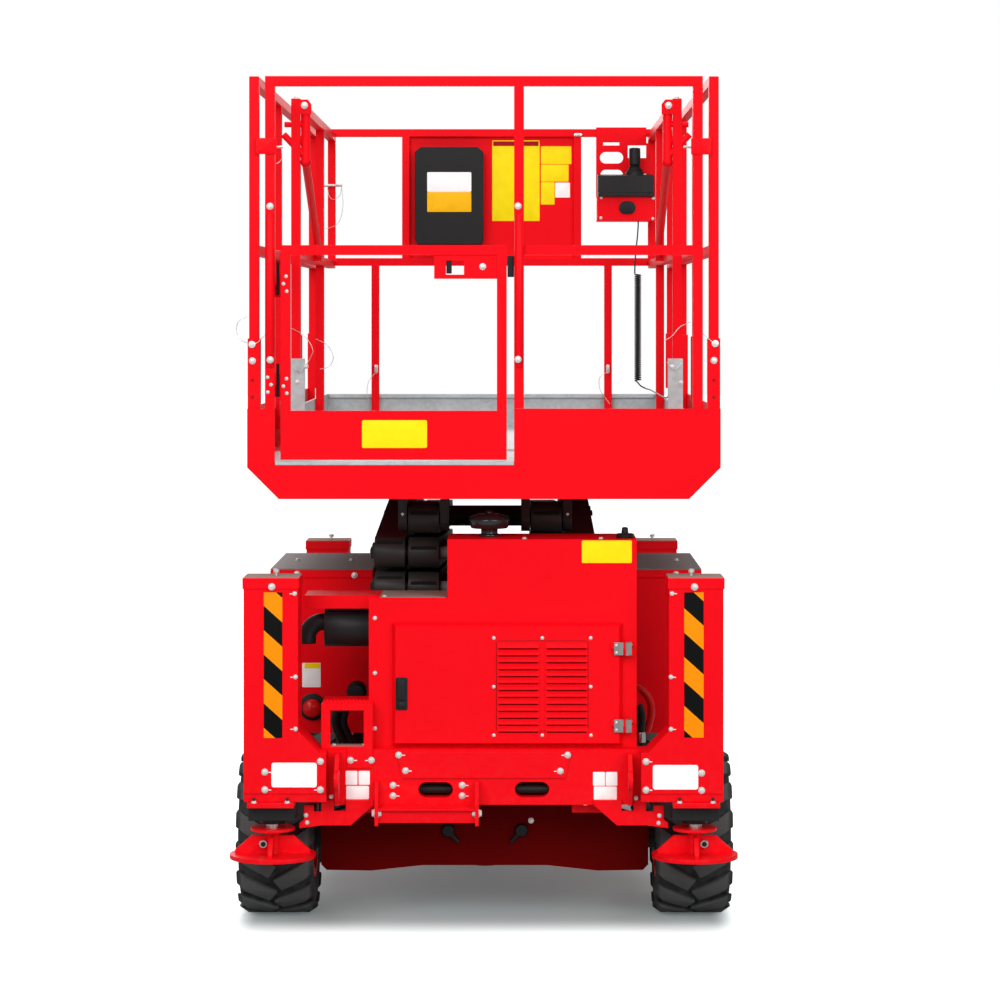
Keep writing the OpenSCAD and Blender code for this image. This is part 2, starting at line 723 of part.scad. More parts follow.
// Scissor
module base_lug(x0, x1) {
    difference() {
        along_x(x0, x1) union() {
            translate([scissor_rear_y - 70, chassis_top]) square([140, 120]);
            polygon([[scissor_rear_y - 60, chassis_top + 119], [scissor_rear_y + 60, chassis_top + 119],
                [scissor_rear_y + boss_d / 2, base_pin_z], [scissor_rear_y - boss_d / 2, base_pin_z]]);
            translate([scissor_rear_y, base_pin_z]) circle(d = boss_d);
        }
        translate([0, scissor_rear_y, base_pin_z]) cyl_x(shaft_d + 2 * run_clear, x0 - 1, x1 + 1);
    }
}
module scissor_base() color(charcoal) {
    both_x() {
        base_lug(outer_x0 - lug_gap - lug_t, outer_x0 - lug_gap);
        base_lug(outer_x1 + 3, outer_x1 + 12);
        box([inner_x0 + arm_w + 4, 60, chassis_top], [inner_x0 + arm_w + 14 + roller_w, 1010, track_z]);
        difference() {
            along_x(54, 74) union() {
                translate([lift_foot[1] - 50, chassis_top - 30]) square([100, 60]);
                polygon([[lift_foot[1] - 50, chassis_top + 29], [lift_foot[1] + 50, chassis_top + 29],
                    [lift_foot[1] + 38, lift_foot[2]], [lift_foot[1] - 38, lift_foot[2]]]);
                translate([lift_foot[1], lift_foot[2]]) circle(d = 76);
            }
            translate(lift_foot) cyl_x(40 + 2 * run_clear, 53, 75);
        }
    }
    box([-chassis_half + member_w, lift_foot[1] - 50, chassis_top - 40],
        [chassis_half - member_w, lift_foot[1] + 50, chassis_top - 10]);
}
module arm_blank(x0) {
    along_x(x0, x0 + arm_w) union() {
        translate([0, -arm_h / 2]) square([arm_l, arm_h]);
        circle(d = boss_d);
        translate([arm_l, 0]) circle(d = boss_d);
    }
}
module keeper(y) {
    box([outer_x1 - 1, y - 30, -14], [shaft_end, y + 30, 26]);
}
module outer_frame(k) {
    translate([0, scissor_rear_y, pin_z(k - 1)]) rotate([stow_angle, 0, 0]) {
        both_x() {
            arm_blank(outer_x0);
            translate([0, arm_l / 2, 0]) cyl_x(shaft_d, inner_x0 - 6, outer_x0 + 1);
            keeper(arm_l / 2);
            keeper(arm_l);
            if (k > 1) keeper(0);
        }
        cyl_x(shaft_d, -shaft_end - 4, shaft_end + 4);
        translate([0, arm_l, 0]) {
            cyl_x(shaft_d, -outer_x0 - 1, outer_x0 + 1);
            if (k == levels) both_x() cyl_x(roller_d, outer_x1 + 10, outer_x1 + 10 + roller_w);
            if (k == levels) both_x() cyl_x(shaft_d, outer_x1 - 1, outer_x1 + 11);
        }
    }
}
module inner_frame(k) {
    hole_d = shaft_d + 2 * run_clear;
    translate([0, scissor_rear_y, pin_z(k)]) rotate([-stow_angle, 0, 0]) {
        both_x() difference() {
            arm_blank(inner_x0);
            translate([0, arm_l / 2, 0]) cyl_x(hole_d, inner_x0 - 1, outer_x0);
            if (k < levels) cyl_x(hole_d, inner_x0 - 1, outer_x0);
            if (k > 1) translate([0, arm_l, 0]) cyl_x(hole_d, inner_x0 - 1, outer_x0);
        }
        translate([0, 0.25 * arm_l, 0]) cyl_x(cross_tube_d, -inner_x0 - 1, inner_x0 + 1);
        translate([0, lift_lug_u * arm_l, 0]) both_x()
            cyl_x(cross_tube_d, k == 1 ? lift_lug_x0 : -1, inner_x0 + 1);
        if (k == levels)
            both_x() cyl_x(shaft_d, inner_x0 - lug_gap - lug_t, inner_x0 + arm_w + lug_gap + lug_t);
        if (k == 1) both_x() translate([0, arm_l, 0]) {
            cyl_x(shaft_d, inner_x0 + arm_w - 1, inner_x0 + arm_w + 9);
            cyl_x(roller_d, inner_x0 + arm_w + 8, inner_x0 + arm_w + 8 + roller_w);
        }
        if (k == 1) translate([0, lift_lug_u * arm_l, 0])
            both_x() along_x(lift_lug_x0, lift_lug_x0 + 20) difference() {
            union() {
                polygon([[0, -28], [lift_lug_reach, -lift_lug_drop - 32],
                    [lift_lug_reach, -lift_lug_drop + 32], [0, 28]]);
                translate([lift_lug_reach, -lift_lug_drop]) circle(d = 64);
            }
            translate([lift_lug_reach, -lift_lug_drop]) circle(d = 40);
        }
    }
}
module arm_outer_1() color(charcoal) { outer_frame(1); }
module arm_outer_2() color(charcoal) { outer_frame(2); }
module arm_outer_3() color(charcoal) { outer_frame(3); }
module arm_outer_4() color(charcoal) { outer_frame(4); }
module arm_inner_1() color(charcoal) { inner_frame(1); }
module arm_inner_2() color(charcoal) { inner_frame(2); }
module arm_inner_3() color(charcoal) { inner_frame(3); }
module arm_inner_4() color(charcoal) { inner_frame(4); }

// Lift cylinder, laid from its foot towards the lug of the lowest inner arm
lug_y = lift_lug_u * arm_l + lift_lug_reach;
lift_head = [0, scissor_rear_y + lug_y * cos(stow_angle) - lift_lug_drop * sin(stow_angle),
    pin_z(1) - lug_y * sin(stow_angle) - lift_lug_drop * cos(stow_angle)];
lift_len = norm(lift_head - lift_foot);
lift_angle = atan2(lift_head[2] - lift_foot[2], lift_foot[1] - lift_head[1]);
module at_lift() { translate(lift_foot) rotate([-lift_angle, 0, 0]) mirror([0, 1, 0]) children(); }
module lift_barrel() color(black) {
    at_lift() {
        difference() {
            union() {
                cyl_x(76, -50, 50);
                cyl_y(lift_d, 30, lift_len - 130);
                cyl_y(lift_d + 10, lift_len - 165, lift_len - 125);
            }
            cyl_y(lift_rod_d + 2 * run_clear, 120, lift_len);
        }
        both_x() cyl_x(40, 49, 74);
    }
}
module lift_rod() color(grey) {
    at_lift() {
        cyl_y(lift_rod_d, 160, lift_len - 30);
        translate([0, lift_len, 0]) difference() {
            cyl_x(lift_eye_d, -30, 30);
            cyl_x(40, -31, 31);
        }
    }
}

// Platform
module platform_deck() color(red) {
    difference() {
        along_y(-half_l, half_l) polygon([[-half_w, frame_z + corner_cut], [-half_w + corner_cut, frame_z],
            [half_w - corner_cut, frame_z], [half_w, frame_z + corner_cut], [half_w, wall_z],
            [-half_w, wall_z]]);
        box([-half_w + sheet, -half_l + sheet, deck_z], [half_w - sheet, half_l + 1, wall_z + 1]);
        box([-half_w + corner_cut, -half_l + sheet, frame_z - 1],
            [half_w - corner_cut, half_l - front_beam, deck_z - floor_t]);
        box([gate_x0, -half_l - 1, deck_z - 10], [gate_x1, -half_l + sheet + 1, wall_z + 1]);
    }
    for (y = [-700, -100, 500]) box([-half_w + corner_cut - 1, y, frame_z + member_drop],
        [half_w - corner_cut + 1, y + 60, deck_z - floor_t + 1]);
}
// Charcoal pivot lugs and roller tracks under the deck
module platform_base() color(charcoal) {
    both_x() {
        platform_lug(inner_x0 - lug_gap - lug_t, inner_x0 - lug_gap);
        platform_lug(inner_x0 + arm_w + lug_gap, inner_x0 + arm_w + lug_gap + lug_t);
        box([shaft_end + 3, -200, top_pin_z + roller_d / 2 + seat_gap],
            [outer_x1 + 14 + roller_w, half_l - front_beam - seat_gap, frame_z + member_drop]);
    }
}
module platform_lug(x0, x1) {
    difference() {
        along_x(x0, x1) union() {
            polygon([[scissor_rear_y - 80, deck_z - floor_t], [scissor_rear_y + 80, deck_z - floor_t],
                [scissor_rear_y + 40, top_pin_z], [scissor_rear_y - 40, top_pin_z]]);
            translate([scissor_rear_y, top_pin_z]) circle(d = 80);
        }
        translate([0, scissor_rear_y, top_pin_z]) cyl_x(shaft_d + 2 * run_clear, x0 - 1, x1 + 1);
    }
}
module post(x, y, z0, z1) { box([x, y, z0], [x + tube, y + tube, z1]); }
rail_posts = [-half_l + sheet + 4, -half_l * 0.33, half_l * 0.33, half_l - tube - 6];
module side_rail() {
    x0 = rail_x - tube;
    for (y = rail_posts) {
        post(x0, y, wall_z, rail_z);
        box([x0 - 4, y - 4, wall_z], [x0 - 4 + sleeve, y - 4 + sleeve, wall_z + sleeve_h]);
    }
    for (z = [rail_z - tube, mid_z - tube])
        box([x0, rail_posts[0], z], [rail_x, rail_posts[3] + tube, z + tube]);
    for (y = rail_posts) box([x0 + 6, y - 4, wall_z - 90], [half_w - sheet, y + sleeve - 4, wall_z + 1]);
}
module platform_rails() color(red) { both_x() side_rail(); }

rear_rail_x = 624;
strut_d = 26;
strut_z0 = deck_z + 290;
strut_z1 = deck_z + 707;
module rear_rail() color(red) {
    y0 = -half_l;
    y1 = y0 + tube;
    for (x = [-rear_rail_x, gate_x1, rear_rail_x - tube]) {
        post(x, y0, wall_z + seat_gap, rail_z);
    }
    box([-rear_rail_x, y0, rail_z - tube], [rear_rail_x, y1, rail_z]);
    box([gate_x1, y0, mid_z - tube], [rear_rail_x, y1, mid_z]);
    for (x = [-rear_rail_x + tube / 2, gate_x1 + tube / 2]) {
        translate([x, y0 - strut_d / 2 + 1, 0]) cyl_z(strut_d, strut_z0, strut_z1);
        for (z = [strut_z0 - 18, strut_z1 - 4]) box([x - 11, y0 - 7, z], [x + 11, y0 + 1, z + 40]);
    }
    for (z = gate_hinge_z) difference() {
        union() {
            translate(gate_hinge) cyl_z(14, z, z + 2 * hinge_h);
            box([gate_hinge[0] - 26, y1 - 1, z], [gate_hinge[0], gate_hinge[1], z + 2 * hinge_h]);
        }
        translate(gate_hinge) cyl_z(hinge_pin_d + 2 * run_clear, z - 1, z + 2 * hinge_h + 1);
    }
}
latch_w = 179;
latch_h = 68;
module gate() color(red) {
    y1 = gate_y0 + tube;
    for (x = [gate_left, gate_right - tube]) post(x, gate_y0, gate_bottom, mid_z);
    box([gate_left, gate_y0, mid_z - tube], [gate_right, y1, mid_z]);
    box([gate_left, gate_y0, gate_bottom], [gate_right, gate_y0 + sheet + 2, wall_z - 6]);
    difference() {
        box([gate_right - tube - latch_w, gate_y0 + 4, mid_z - tube - latch_h],
            [gate_right - tube + 1, gate_y0 + 10, mid_z - tube + 1]);
        box([gate_right - tube - latch_w + 34, gate_y0 + 3, mid_z - tube - latch_h + 12],
            [gate_right - tube - latch_w + 85, gate_y0 + 11, mid_z - tube - 16]);
    }
    for (z = gate_hinge_z) {
        z1 = z + 2 * hinge_h + seat_gap;
        translate(gate_hinge) cyl_z(hinge_pin_d, z + 1, z1 + 1);
        translate(gate_hinge) cyl_z(14, z1, z1 + 2 * hinge_h);
        box([gate_hinge[0], y1 - 1, z1], [gate_left + tube - 6, gate_hinge[1], z1 + 2 * hinge_h]);
    }
}

// Extension deck
module extension_deck() color(grey) {
    x1 = ext_x + 10;
    box([-x1, ext_y0, ext_z], [x1, ext_y1 - 10, ext_z + ext_floor_t]);
    both_x() box([ext_x + 2, ext_y0, ext_z], [x1, ext_y1 - 10, ext_z + ext_wall_h]);
    box([-x1, ext_y1 - 10 - ext_sheet, ext_z], [x1, ext_y1 - 10, ext_z + ext_wall_h]);
    both_x() box([ext_x - upright_w, ext_y0 + 1, ext_z], [ext_x + 3, ext_y0 + 10, ext_z + upright_h]);
}
ext_posts = [ext_y0 + 10, ext_y0 + ext_l * 0.62];
module extension_rail() {
    x0 = ext_x - tube;
    for (y = ext_posts) post(x0, y, ext_z + ext_floor_t, rail_z - 16);
    for (z = [rail_z - 16 - tube, mid_z - tube])
        box([x0, ext_posts[0], z], [ext_x, half_l - 10 - ext_sheet - tube - 1, z + tube]);
}
// Round bar between two points
module rod(a, b, d) {
    v = b - a;
    translate(a) rotate([0, acos(v[2] / norm(v)), atan2(v[1], v[0])]) cylinder(d = d, h = norm(v));
}
handle_d = 28;
handle_arm_d = 14;
handle_joint_d = 33;
brace_d = 25;
handle_x = ext_x - tube - 16;
handle_y = ext_y0 + 24;
handle_z = [deck_z + 889, deck_z + 1039];
brace_end = [handle_x, 60, mid_z - 8];
module fold_handle() {
    x1 = ext_x - tube + 2;
    translate([handle_x, handle_y, 0]) cyl_z(handle_d, handle_z[0], handle_z[1]);
    translate([handle_x, handle_y, handle_z[0]]) sphere(d = handle_joint_d);
    rod([handle_x, handle_y, handle_z[1] - 32], [x1, handle_y, handle_z[1] - 28], handle_arm_d);
    rod([handle_x, handle_y, handle_z[0] + 30], [x1, handle_y, handle_z[0] + 80], handle_arm_d);
    rod([handle_x, handle_y, handle_z[0]], brace_end, brace_d);
    box([handle_x - 8, brace_end[1] - 14, mid_z - 22], [x1, brace_end[1] + 14, mid_z - 2]);
}
module extension_rails() color(red) {
    both_x() {
        extension_rail();
        fold_handle();
    }
}
module front_rail() color(red) {
    y1 = ext_y1 - 10 - ext_sheet - 1;
    y0 = y1 - tube;
    both_x() {
        post(ext_x - tube, y0, front_low_z, rail_z);
        post(front_post_x, y0, ext_z + ext_floor_t, front_low_z + 1);
        post(panel_half, y0, front_low_z, rail_z);
    }
    for (z = [front_low_z, rail_z - tube]) box([-ext_x, y0, z], [ext_x, y1, z + tube]);
    box([-panel_half - 1, y1 - 6, front_low_z + 1], [panel_half + 1, y1, rail_z - 1]);
}
manual_y1 = ext_y1 - 10 - ext_sheet - 1 - 6;
manual_z0 = deck_z + 677;
module manual_box() color(black) {
    z0 = manual_z0;
    difference() {
        along_y(manual_y1 - 62, manual_y1) hull() {
            translate([-280, z0 + 18]) square([250, 320]);
            translate([-272, z0]) square([236, 20]);
            translate([-258, z0 + 340]) square([206, 16]);
        }
        box([-274, manual_y1 - 56, z0 + 8], [-36, manual_y1 - 6, z0 + 400]);
    }
}
control_w = 209;
control_x1 = ext_x - 9;
control_x0 = control_x1 - control_w;
control_neck_x1 = ext_x - tube - 6;
control_z0 = rail_z - 340;
control_y1 = ext_y1 - 10 - ext_sheet - 1 - tube - seat_gap;
control_t = 6;
tray_h = 88;
tray_d = 124;
module oval_hole(x0, x1, z, h) {
    translate([0, 0, z]) {
        box([x0 + h / 2, control_y1 - control_t - 1, -h / 2], [x1 - h / 2, control_y1 + 1, h / 2]);
        for (x = [x0 + h / 2, x1 - h / 2]) translate([x, 0, 0])
            cyl_y(h, control_y1 - control_t - 1, control_y1 + 1);
    }
}
module control_bracket() color(red) {
    y0 = control_y1 - control_t;
    z1 = rail_z - tube - 24;
    difference() {
        union() {
            box([control_x0, y0, control_z0], [control_x1, control_y1, z1]);
            box([control_x0, y0, z1 - 1], [control_neck_x1, control_y1, rail_z + 6]);
        }
        box([control_x0 + 26, y0 - 1, rail_z - 60], [control_x0 + 85, control_y1 + 1, rail_z - 49]);
        oval_hole(control_x0 + 14, control_x0 + 99, rail_z - 105, 42);
        oval_hole(control_x0 + 16, control_x0 + 98, rail_z - 168, 38);
        box([control_x0 + 116, y0 - 1, z1 - 54], [control_x1 - 26, control_y1 + 1, z1 - 8]);
        box([control_x0 + 116, y0 - 1, z1 - 150], [control_x1 - 26, control_y1 + 1, z1 - 112]);
    }
    box([control_x0, y0, rail_z + seat_gap], [control_neck_x1, control_y1 + tube, rail_z + 6]);
    box([control_x0, y0 - tray_d, control_z0], [control_x1, y0 + 1, control_z0 + tray_h]);
}
stick_inset = 70;
module control_box() color(black) {
    y1 = control_y1 - control_t;
    z0 = control_z0 + tray_h;
    along_x(control_x0 + 4, control_x1 - 2) polygon([[y1 - 140, z0], [y1 - 1, z0], [y1 - 1, z0 + 86],
        [y1 - 118, z0 + 76], [y1 - 122, z0 + 16], [y1 - 140, z0 + 12]]);
    translate([control_x1 - stick_inset, y1 - 66, 0]) {
        cyl_z(66, z0 + 60, z0 + 92);
        cyl_z(22, z0 + 91, z0 + 118);
        cyl_z(40, z0 + 117, z0 + 178);
    }
}
module cable_coil() color(black) {
    translate(coil_top) translate([0, 0, -coil_len]) cylinder(d = coil_d, h = coil_len);
}
module cable_lead_top() color(black) { swept_tube(lead_top_points, cable_d, 8); }
module cable_lead_low() color(black) { swept_tube(lead_low_points, cable_d, 8); }

chassis_frame();
rear_axle();
front_axle();
engine_block();
engine_cover();
engine_door();
air_precleaner();
muffler();
side_box_left();
side_box_right();
entry_step();
ladder_bracket();
jack_housings_rear();
jack_housings_front();
scissor_base();
side_box_lids();
beam_plates();
jack_glands_rear();
jack_glands_front();
jack_rear_left();
jack_rear_right();
jack_front_left();
jack_front_right();
tyre_rear_left();
tyre_rear_right();
tyre_front_left();
tyre_front_right();
rim_rear_left();
rim_rear_right();
rim_front_left();
rim_front_right();
knuckle_left();
knuckle_right();
steering_cylinder();
steering_rod();
arm_outer_1();
arm_inner_1();
arm_outer_2();
arm_inner_2();
arm_outer_3();
arm_inner_3();
arm_outer_4();
arm_inner_4();
lift_barrel();
lift_rod();
platform_deck();
platform_base();
platform_rails();
rear_rail();
gate();
extension_deck();
extension_rails();
front_rail();
manual_box();
control_bracket();
control_box();
cable_coil();
cable_lead_top();
cable_lead_low();
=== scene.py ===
"""Dress a compact rough terrain scissor lift: finishes, fasteners, signs, tyres and the control cable."""

import logging
import math
from dataclasses import dataclass
from enum import Enum
from typing import Any, ClassVar, Iterable, Sequence

import bpy
import numpy as np
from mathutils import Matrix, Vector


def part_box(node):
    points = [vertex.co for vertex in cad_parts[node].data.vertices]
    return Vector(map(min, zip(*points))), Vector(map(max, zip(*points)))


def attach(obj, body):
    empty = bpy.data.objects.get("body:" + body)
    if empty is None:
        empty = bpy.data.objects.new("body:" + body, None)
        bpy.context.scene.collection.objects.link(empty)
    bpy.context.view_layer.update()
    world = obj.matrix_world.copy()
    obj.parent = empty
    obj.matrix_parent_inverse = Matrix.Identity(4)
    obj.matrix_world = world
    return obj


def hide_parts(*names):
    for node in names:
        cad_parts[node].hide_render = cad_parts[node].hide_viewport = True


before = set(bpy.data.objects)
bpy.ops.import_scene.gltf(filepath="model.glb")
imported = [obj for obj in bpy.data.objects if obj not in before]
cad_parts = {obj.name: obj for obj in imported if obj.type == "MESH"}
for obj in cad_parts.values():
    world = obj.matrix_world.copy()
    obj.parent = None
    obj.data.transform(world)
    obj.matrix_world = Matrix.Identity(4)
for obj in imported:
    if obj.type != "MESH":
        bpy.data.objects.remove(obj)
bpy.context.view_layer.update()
LOG = logging.getLogger("scissor_lift")
MM = 0.001
TAU = 2.0 * math.pi

Array = np.ndarray
Vec = Sequence[float]
Colour = tuple[float, float, float]
Span = tuple[float, float]
Profile = tuple[Span, ...]
Pixel = tuple[float, float]
Pixels = tuple[Pixel, ...]
Box = tuple[float, float, float, float]

SIDES = (-1.0, 1.0)
ALONG_Y = (0.0, 1.0, 0.0)

# How deep fitted pieces sink into their surface, and how thick skins and strokes are, with their edge radius
SINK = 0.0005
SKIN = 0.0006
SKIN_EDGE = 0.0003
INK = 0.0004
INK_EDGE = 0.0002


# Shader maths

class Tree:
    """A material's node tree, with one method that adds any node."""

    def __init__(self, material: bpy.types.Material) -> None:
        """Empty the material's tree and keep its nodes and links.

        Args:
            material: the material whose nodes are written.
        """
        material.use_nodes = True
        self.nodes = material.node_tree.nodes
        self.links = material.node_tree.links
        self.nodes.clear()

    def add(self, kind: str, settings: dict[str, Any] | None = None,
            inputs: dict[str | int, Any] | None = None, output: str | int = 0) -> "Field":
        """Add a node, set it up and link or fill its sockets.

        Args:
            kind: the node's type, such as ShaderNodeTexNoise.
            settings: attributes of the node, set first.
            inputs: values or fields by socket name or number.
            output: the socket that the returned field stands for.

        Returns:
            The node's chosen output as a field.
        """
        node = self.nodes.new(kind)
        for key, value in (settings or {}).items():
            setattr(node, key, value)
        for key, value in (inputs or {}).items():
            if isinstance(value, Field):
                self.links.new(value.socket, node.inputs[key])
            else:
                node.inputs[key].default_value = value
        return Field(self, node.outputs[output])

    def noise(self, where: "Field", scale: float, detail: float = 3.0) -> "Field":
        """Return a noise value at a place, from 0 to 1."""
        inputs = {"Vector": where, "Scale": scale, "Detail": detail}
        return self.add("ShaderNodeTexNoise", None, inputs, "Fac")

    def blend(self, factor: "Field", low: Any, high: Any) -> "Field":
        """Return a colour between two colours by a factor."""
        return self.add("ShaderNodeMix", {"data_type": "RGBA"}, {0: factor, 6: low, 7: high}, 2)

    def steps(self, value: "Field", low: float, high: float) -> "Field":
        """Return 0 below low, 1 above high and a smooth rise between."""
        return self.add("ShaderNodeMapRange", {"interpolation_type": "SMOOTHSTEP"},
                        {"Value": value, "From Min": low, "From Max": high})

    def coords(self) -> "Field":
        """Return the Object coordinates, in metres."""
        return self.add("ShaderNodeTexCoord", None, None, "Object")

    def axis(self, where: "Field", name: str) -> "Field":
        """Return one coordinate of a place, X, Y or Z."""
        return self.add("ShaderNodeSeparateXYZ", None, {0: where}, name)

    def bump(self, height: "Field", strength: float, distance: float) -> "Field":
        """Return a normal bent by a height field."""
        inputs = {"Strength": strength, "Distance": distance, "Height": height}
        return self.add("ShaderNodeBump", None, inputs)

    def stretch(self, where: "Field", factors: Vec) -> "Field":
        """Return a place with each coordinate times its own factor."""
        return self.add("ShaderNodeVectorMath", {"operation": "MULTIPLY"}, {0: where, 1: factors})


class Field:
    """A socket of a node tree; Python's operators on it add Math nodes."""

    def __init__(self, tree: Tree, socket: bpy.types.NodeSocket) -> None:
        """Wrap an output socket.

        Args:
            tree: the tree that the socket is in.
            socket: the output socket.
        """
        self.tree = tree
        self.socket = socket

    def math(self, operation: str, *others: Any) -> "Field":
        """Return a Math node of this value and others."""
        return self.tree.add("ShaderNodeMath", {"operation": operation}, dict(enumerate((self, *others))))

    def _reflected(self, operation: str, other: float) -> "Field":
        """Return a Math node with a number first and this value second."""
        return self.tree.add("ShaderNodeMath", {"operation": operation}, {0: other, 1: self})

    def __add__(self, other: Any) -> "Field":
        """Sum."""
        return self.math("ADD", other)

    __radd__ = __add__

    def __sub__(self, other: Any) -> "Field":
        """Difference."""
        return self.math("SUBTRACT", other)

    def __rsub__(self, other: float) -> "Field":
        """Number less this value."""
        return self._reflected("SUBTRACT", other)

    def __mul__(self, other: Any) -> "Field":
        """Product."""
        return self.math("MULTIPLY", other)

    __rmul__ = __mul__

    def __truediv__(self, other: Any) -> "Field":
        """Quotient."""
        return self.math("DIVIDE", other)

    def __lt__(self, other: Any) -> "Field":
        """1 where this value is lower, else 0."""
        return self.math("LESS_THAN", other)

    def fraction(self) -> "Field":
        """Part after the point."""
        return self.math("FRACT")


# Finishes

@dataclass(frozen=True)
class Finish:
    """A finish with a colour, a roughness and the record's slot it belongs to."""

    name: str
    slot: str
    colour: Colour
    roughness: float = 0.4
    metallic: float = 0.0
    specular: float = 0.2
    mottle_scale: float = 35.0
    made: ClassVar[dict[str, bpy.types.Material]] = {}

    def material(self) -> bpy.types.Material:
        """Return the finish's material, built on first use."""
        if self.name not in Finish.made:
            material = bpy.data.materials.new(self.name)
            tree = Tree(material)
            shader = tree.add("ShaderNodeBsdfPrincipled", None,
                              {"Metallic": self.metallic, "Specular IOR Level": self.specular}, "BSDF")
            for socket, value in self.look(tree).items():
                if isinstance(value, Field):
                    tree.links.new(value.socket, shader.socket.node.inputs[socket])
                else:
                    shader.socket.node.inputs[socket].default_value = value
            self._close(tree, shader)
            material.diffuse_color = (*self.colour, 1.0)
            Finish.made[self.name] = material
        return Finish.made[self.name]

    @staticmethod
    def _close(tree: Tree, shader: Field) -> None:
        """Link the shader to the material's output."""
        end = tree.nodes.new("ShaderNodeOutputMaterial")
        tree.links.new(shader.socket, end.inputs["Surface"])

    def shade(self, factor: float) -> tuple[float, float, float, float]:
        """Return the colour times a factor, with alpha."""
        return (*(min(1.0, c * factor) for c in self.colour), 1.0)

    def look(self, tree: Tree) -> dict[str, Any]:
        """Return the shader's inputs; a fine mottle of colour and gloss.

        Args:
            tree: the tree to add nodes to.

        Returns:
            Values or fields by the shader's socket names.
        """
        where = tree.coords()
        mottle = tree.noise(where, self.mottle_scale)
        return {"Base Color": tree.blend(mottle, self.shade(0.9), self.shade(1.08)),
                "Roughness": self.roughness + 0.12 * (mottle - 0.5)}


@dataclass(frozen=True)
class PowderCoat(Finish):
    """Baked powder paint: a faint orange peel, cloudy gloss, and dust low down on the machine."""

    peel: float = 0.05
    peel_scale: float = 420.0
    peel_depth: float = 0.0006
    cloud_scale: float = 2.2
    grain_scale: float = 60.0
    dust: float = 0.0
    dust_heights: Span = (0.15, 0.75)
    dust_grain: Span = (0.42, 0.68)
    dust_colour: Colour = (0.30, 0.25, 0.21)

    def look(self, tree: Tree) -> dict[str, Any]:
        """Return paint inputs: mottled colour, dust near the ground, and orange peel in the normal."""
        where = tree.coords()
        cloud = tree.noise(where, self.cloud_scale, 4.0)
        peel = tree.noise(where, self.peel_scale, 1.0)
        grain = tree.noise(where, self.grain_scale, 4.0)
        low = 1.0 - tree.steps(tree.axis(where, "Z"), *self.dust_heights)
        dusty = self.dust * low * tree.steps(grain, *self.dust_grain)
        clean = tree.blend(cloud, self.shade(0.93), self.shade(1.05))
        return {"Base Color": tree.blend(dusty, clean, (*self.dust_colour, 1.0)),
                "Roughness": self.roughness + 0.10 * (cloud - 0.5) + 0.35 * dusty + 0.04 * (grain - 0.5),
                "Normal": tree.bump(peel, self.peel, self.peel_depth)}


@dataclass(frozen=True)
class Galvanised(Finish):
    """Hot dip zinc: crystal spangles of several greys, with scuffs."""

    spangle_scale: float = 85.0
    spangle_stretch: tuple[float, float, float] = (1.0, 0.55, 1.0)
    scuff_scale: float = 14.0
    scuff_range: Span = (0.45, 0.7)

    def look(self, tree: Tree) -> dict[str, Any]:
        """Return zinc inputs: a cell pattern sets each spangle's grey and gloss."""
        where = tree.coords()
        inputs = {"Vector": tree.stretch(where, self.spangle_stretch), "Scale": self.spangle_scale}
        tone = tree.axis(tree.add("ShaderNodeTexVoronoi", None, inputs, "Color"), "X")
        scuff = tree.steps(tree.noise(where, self.scuff_scale, 6.0), *self.scuff_range)
        shade = 0.6 * tone + 0.4 * scuff
        return {"Base Color": tree.blend(shade, self.shade(0.84), self.shade(1.08)),
                "Roughness": self.roughness + 0.18 * (tone - 0.5) + 0.12 * scuff}


@dataclass(frozen=True)
class Brushed(Finish):
    """Turned or plated steel with fine drawn lines."""

    line_stretch: tuple[float, float, float] = (60.0, 900.0, 900.0)

    def look(self, tree: Tree) -> dict[str, Any]:
        """Return steel inputs: stretched noise for the lines, in colour and gloss."""
        lines = tree.noise(tree.stretch(tree.coords(), self.line_stretch), 1.0, 2.0)
        return {"Base Color": tree.blend(lines, self.shade(0.8), self.shade(1.1)),
                "Roughness": self.roughness + 0.2 * (lines - 0.5)}


@dataclass(frozen=True)
class Rubber(Finish):
    """Tyre rubber: fine grain, a dusty bloom, paler worn lug tops, and grooves darkened as painted shade."""

    axle_middle: float = -0.060
    half_wheelbase: float = 0.880
    tyre_radius: float = 0.240
    lug_height: float = 0.018
    worn: Colour = (0.085, 0.084, 0.083)
    bloom: Colour = (0.055, 0.054, 0.052)
    grain_scale: float = 700.0
    grain_depth: float = 0.0008
    cloud_scale: float = 26.0
    cloud_range: Span = (0.36, 0.72)

    def look(self, tree: Tree) -> dict[str, Any]:
        """Return rubber inputs: lug tops by the distance from the axle, sqrt(dy^2 + dz^2), else by noise."""
        where = tree.coords()
        grain = tree.noise(where, self.grain_scale, 2.0)
        cloud = tree.noise(where, self.cloud_scale, 5.0)
        along = (tree.axis(where, "Y") - self.axle_middle).math("ABSOLUTE") - self.half_wheelbase
        up = tree.axis(where, "Z") - self.tyre_radius
        reach = (along * along + up * up).math("SQRT")
        low, high = (self.tyre_radius - share * self.lug_height for share in (0.7, 0.2))
        top = tree.steps(reach, low, high)
        # Painted shade: below the lug tops the rubber darkens to half its colour, mixed with dusty bloom
        body = tree.blend(0.75 * tree.steps(cloud, *self.cloud_range), self.shade(0.5), (*self.bloom, 1.0))
        return {"Base Color": tree.blend(top * (0.7 + 0.3 * cloud), body, (*self.worn, 1.0)),
                "Roughness": self.roughness + 0.18 * (cloud - 0.5),
                "Normal": tree.bump(grain, 0.25, self.grain_depth)}


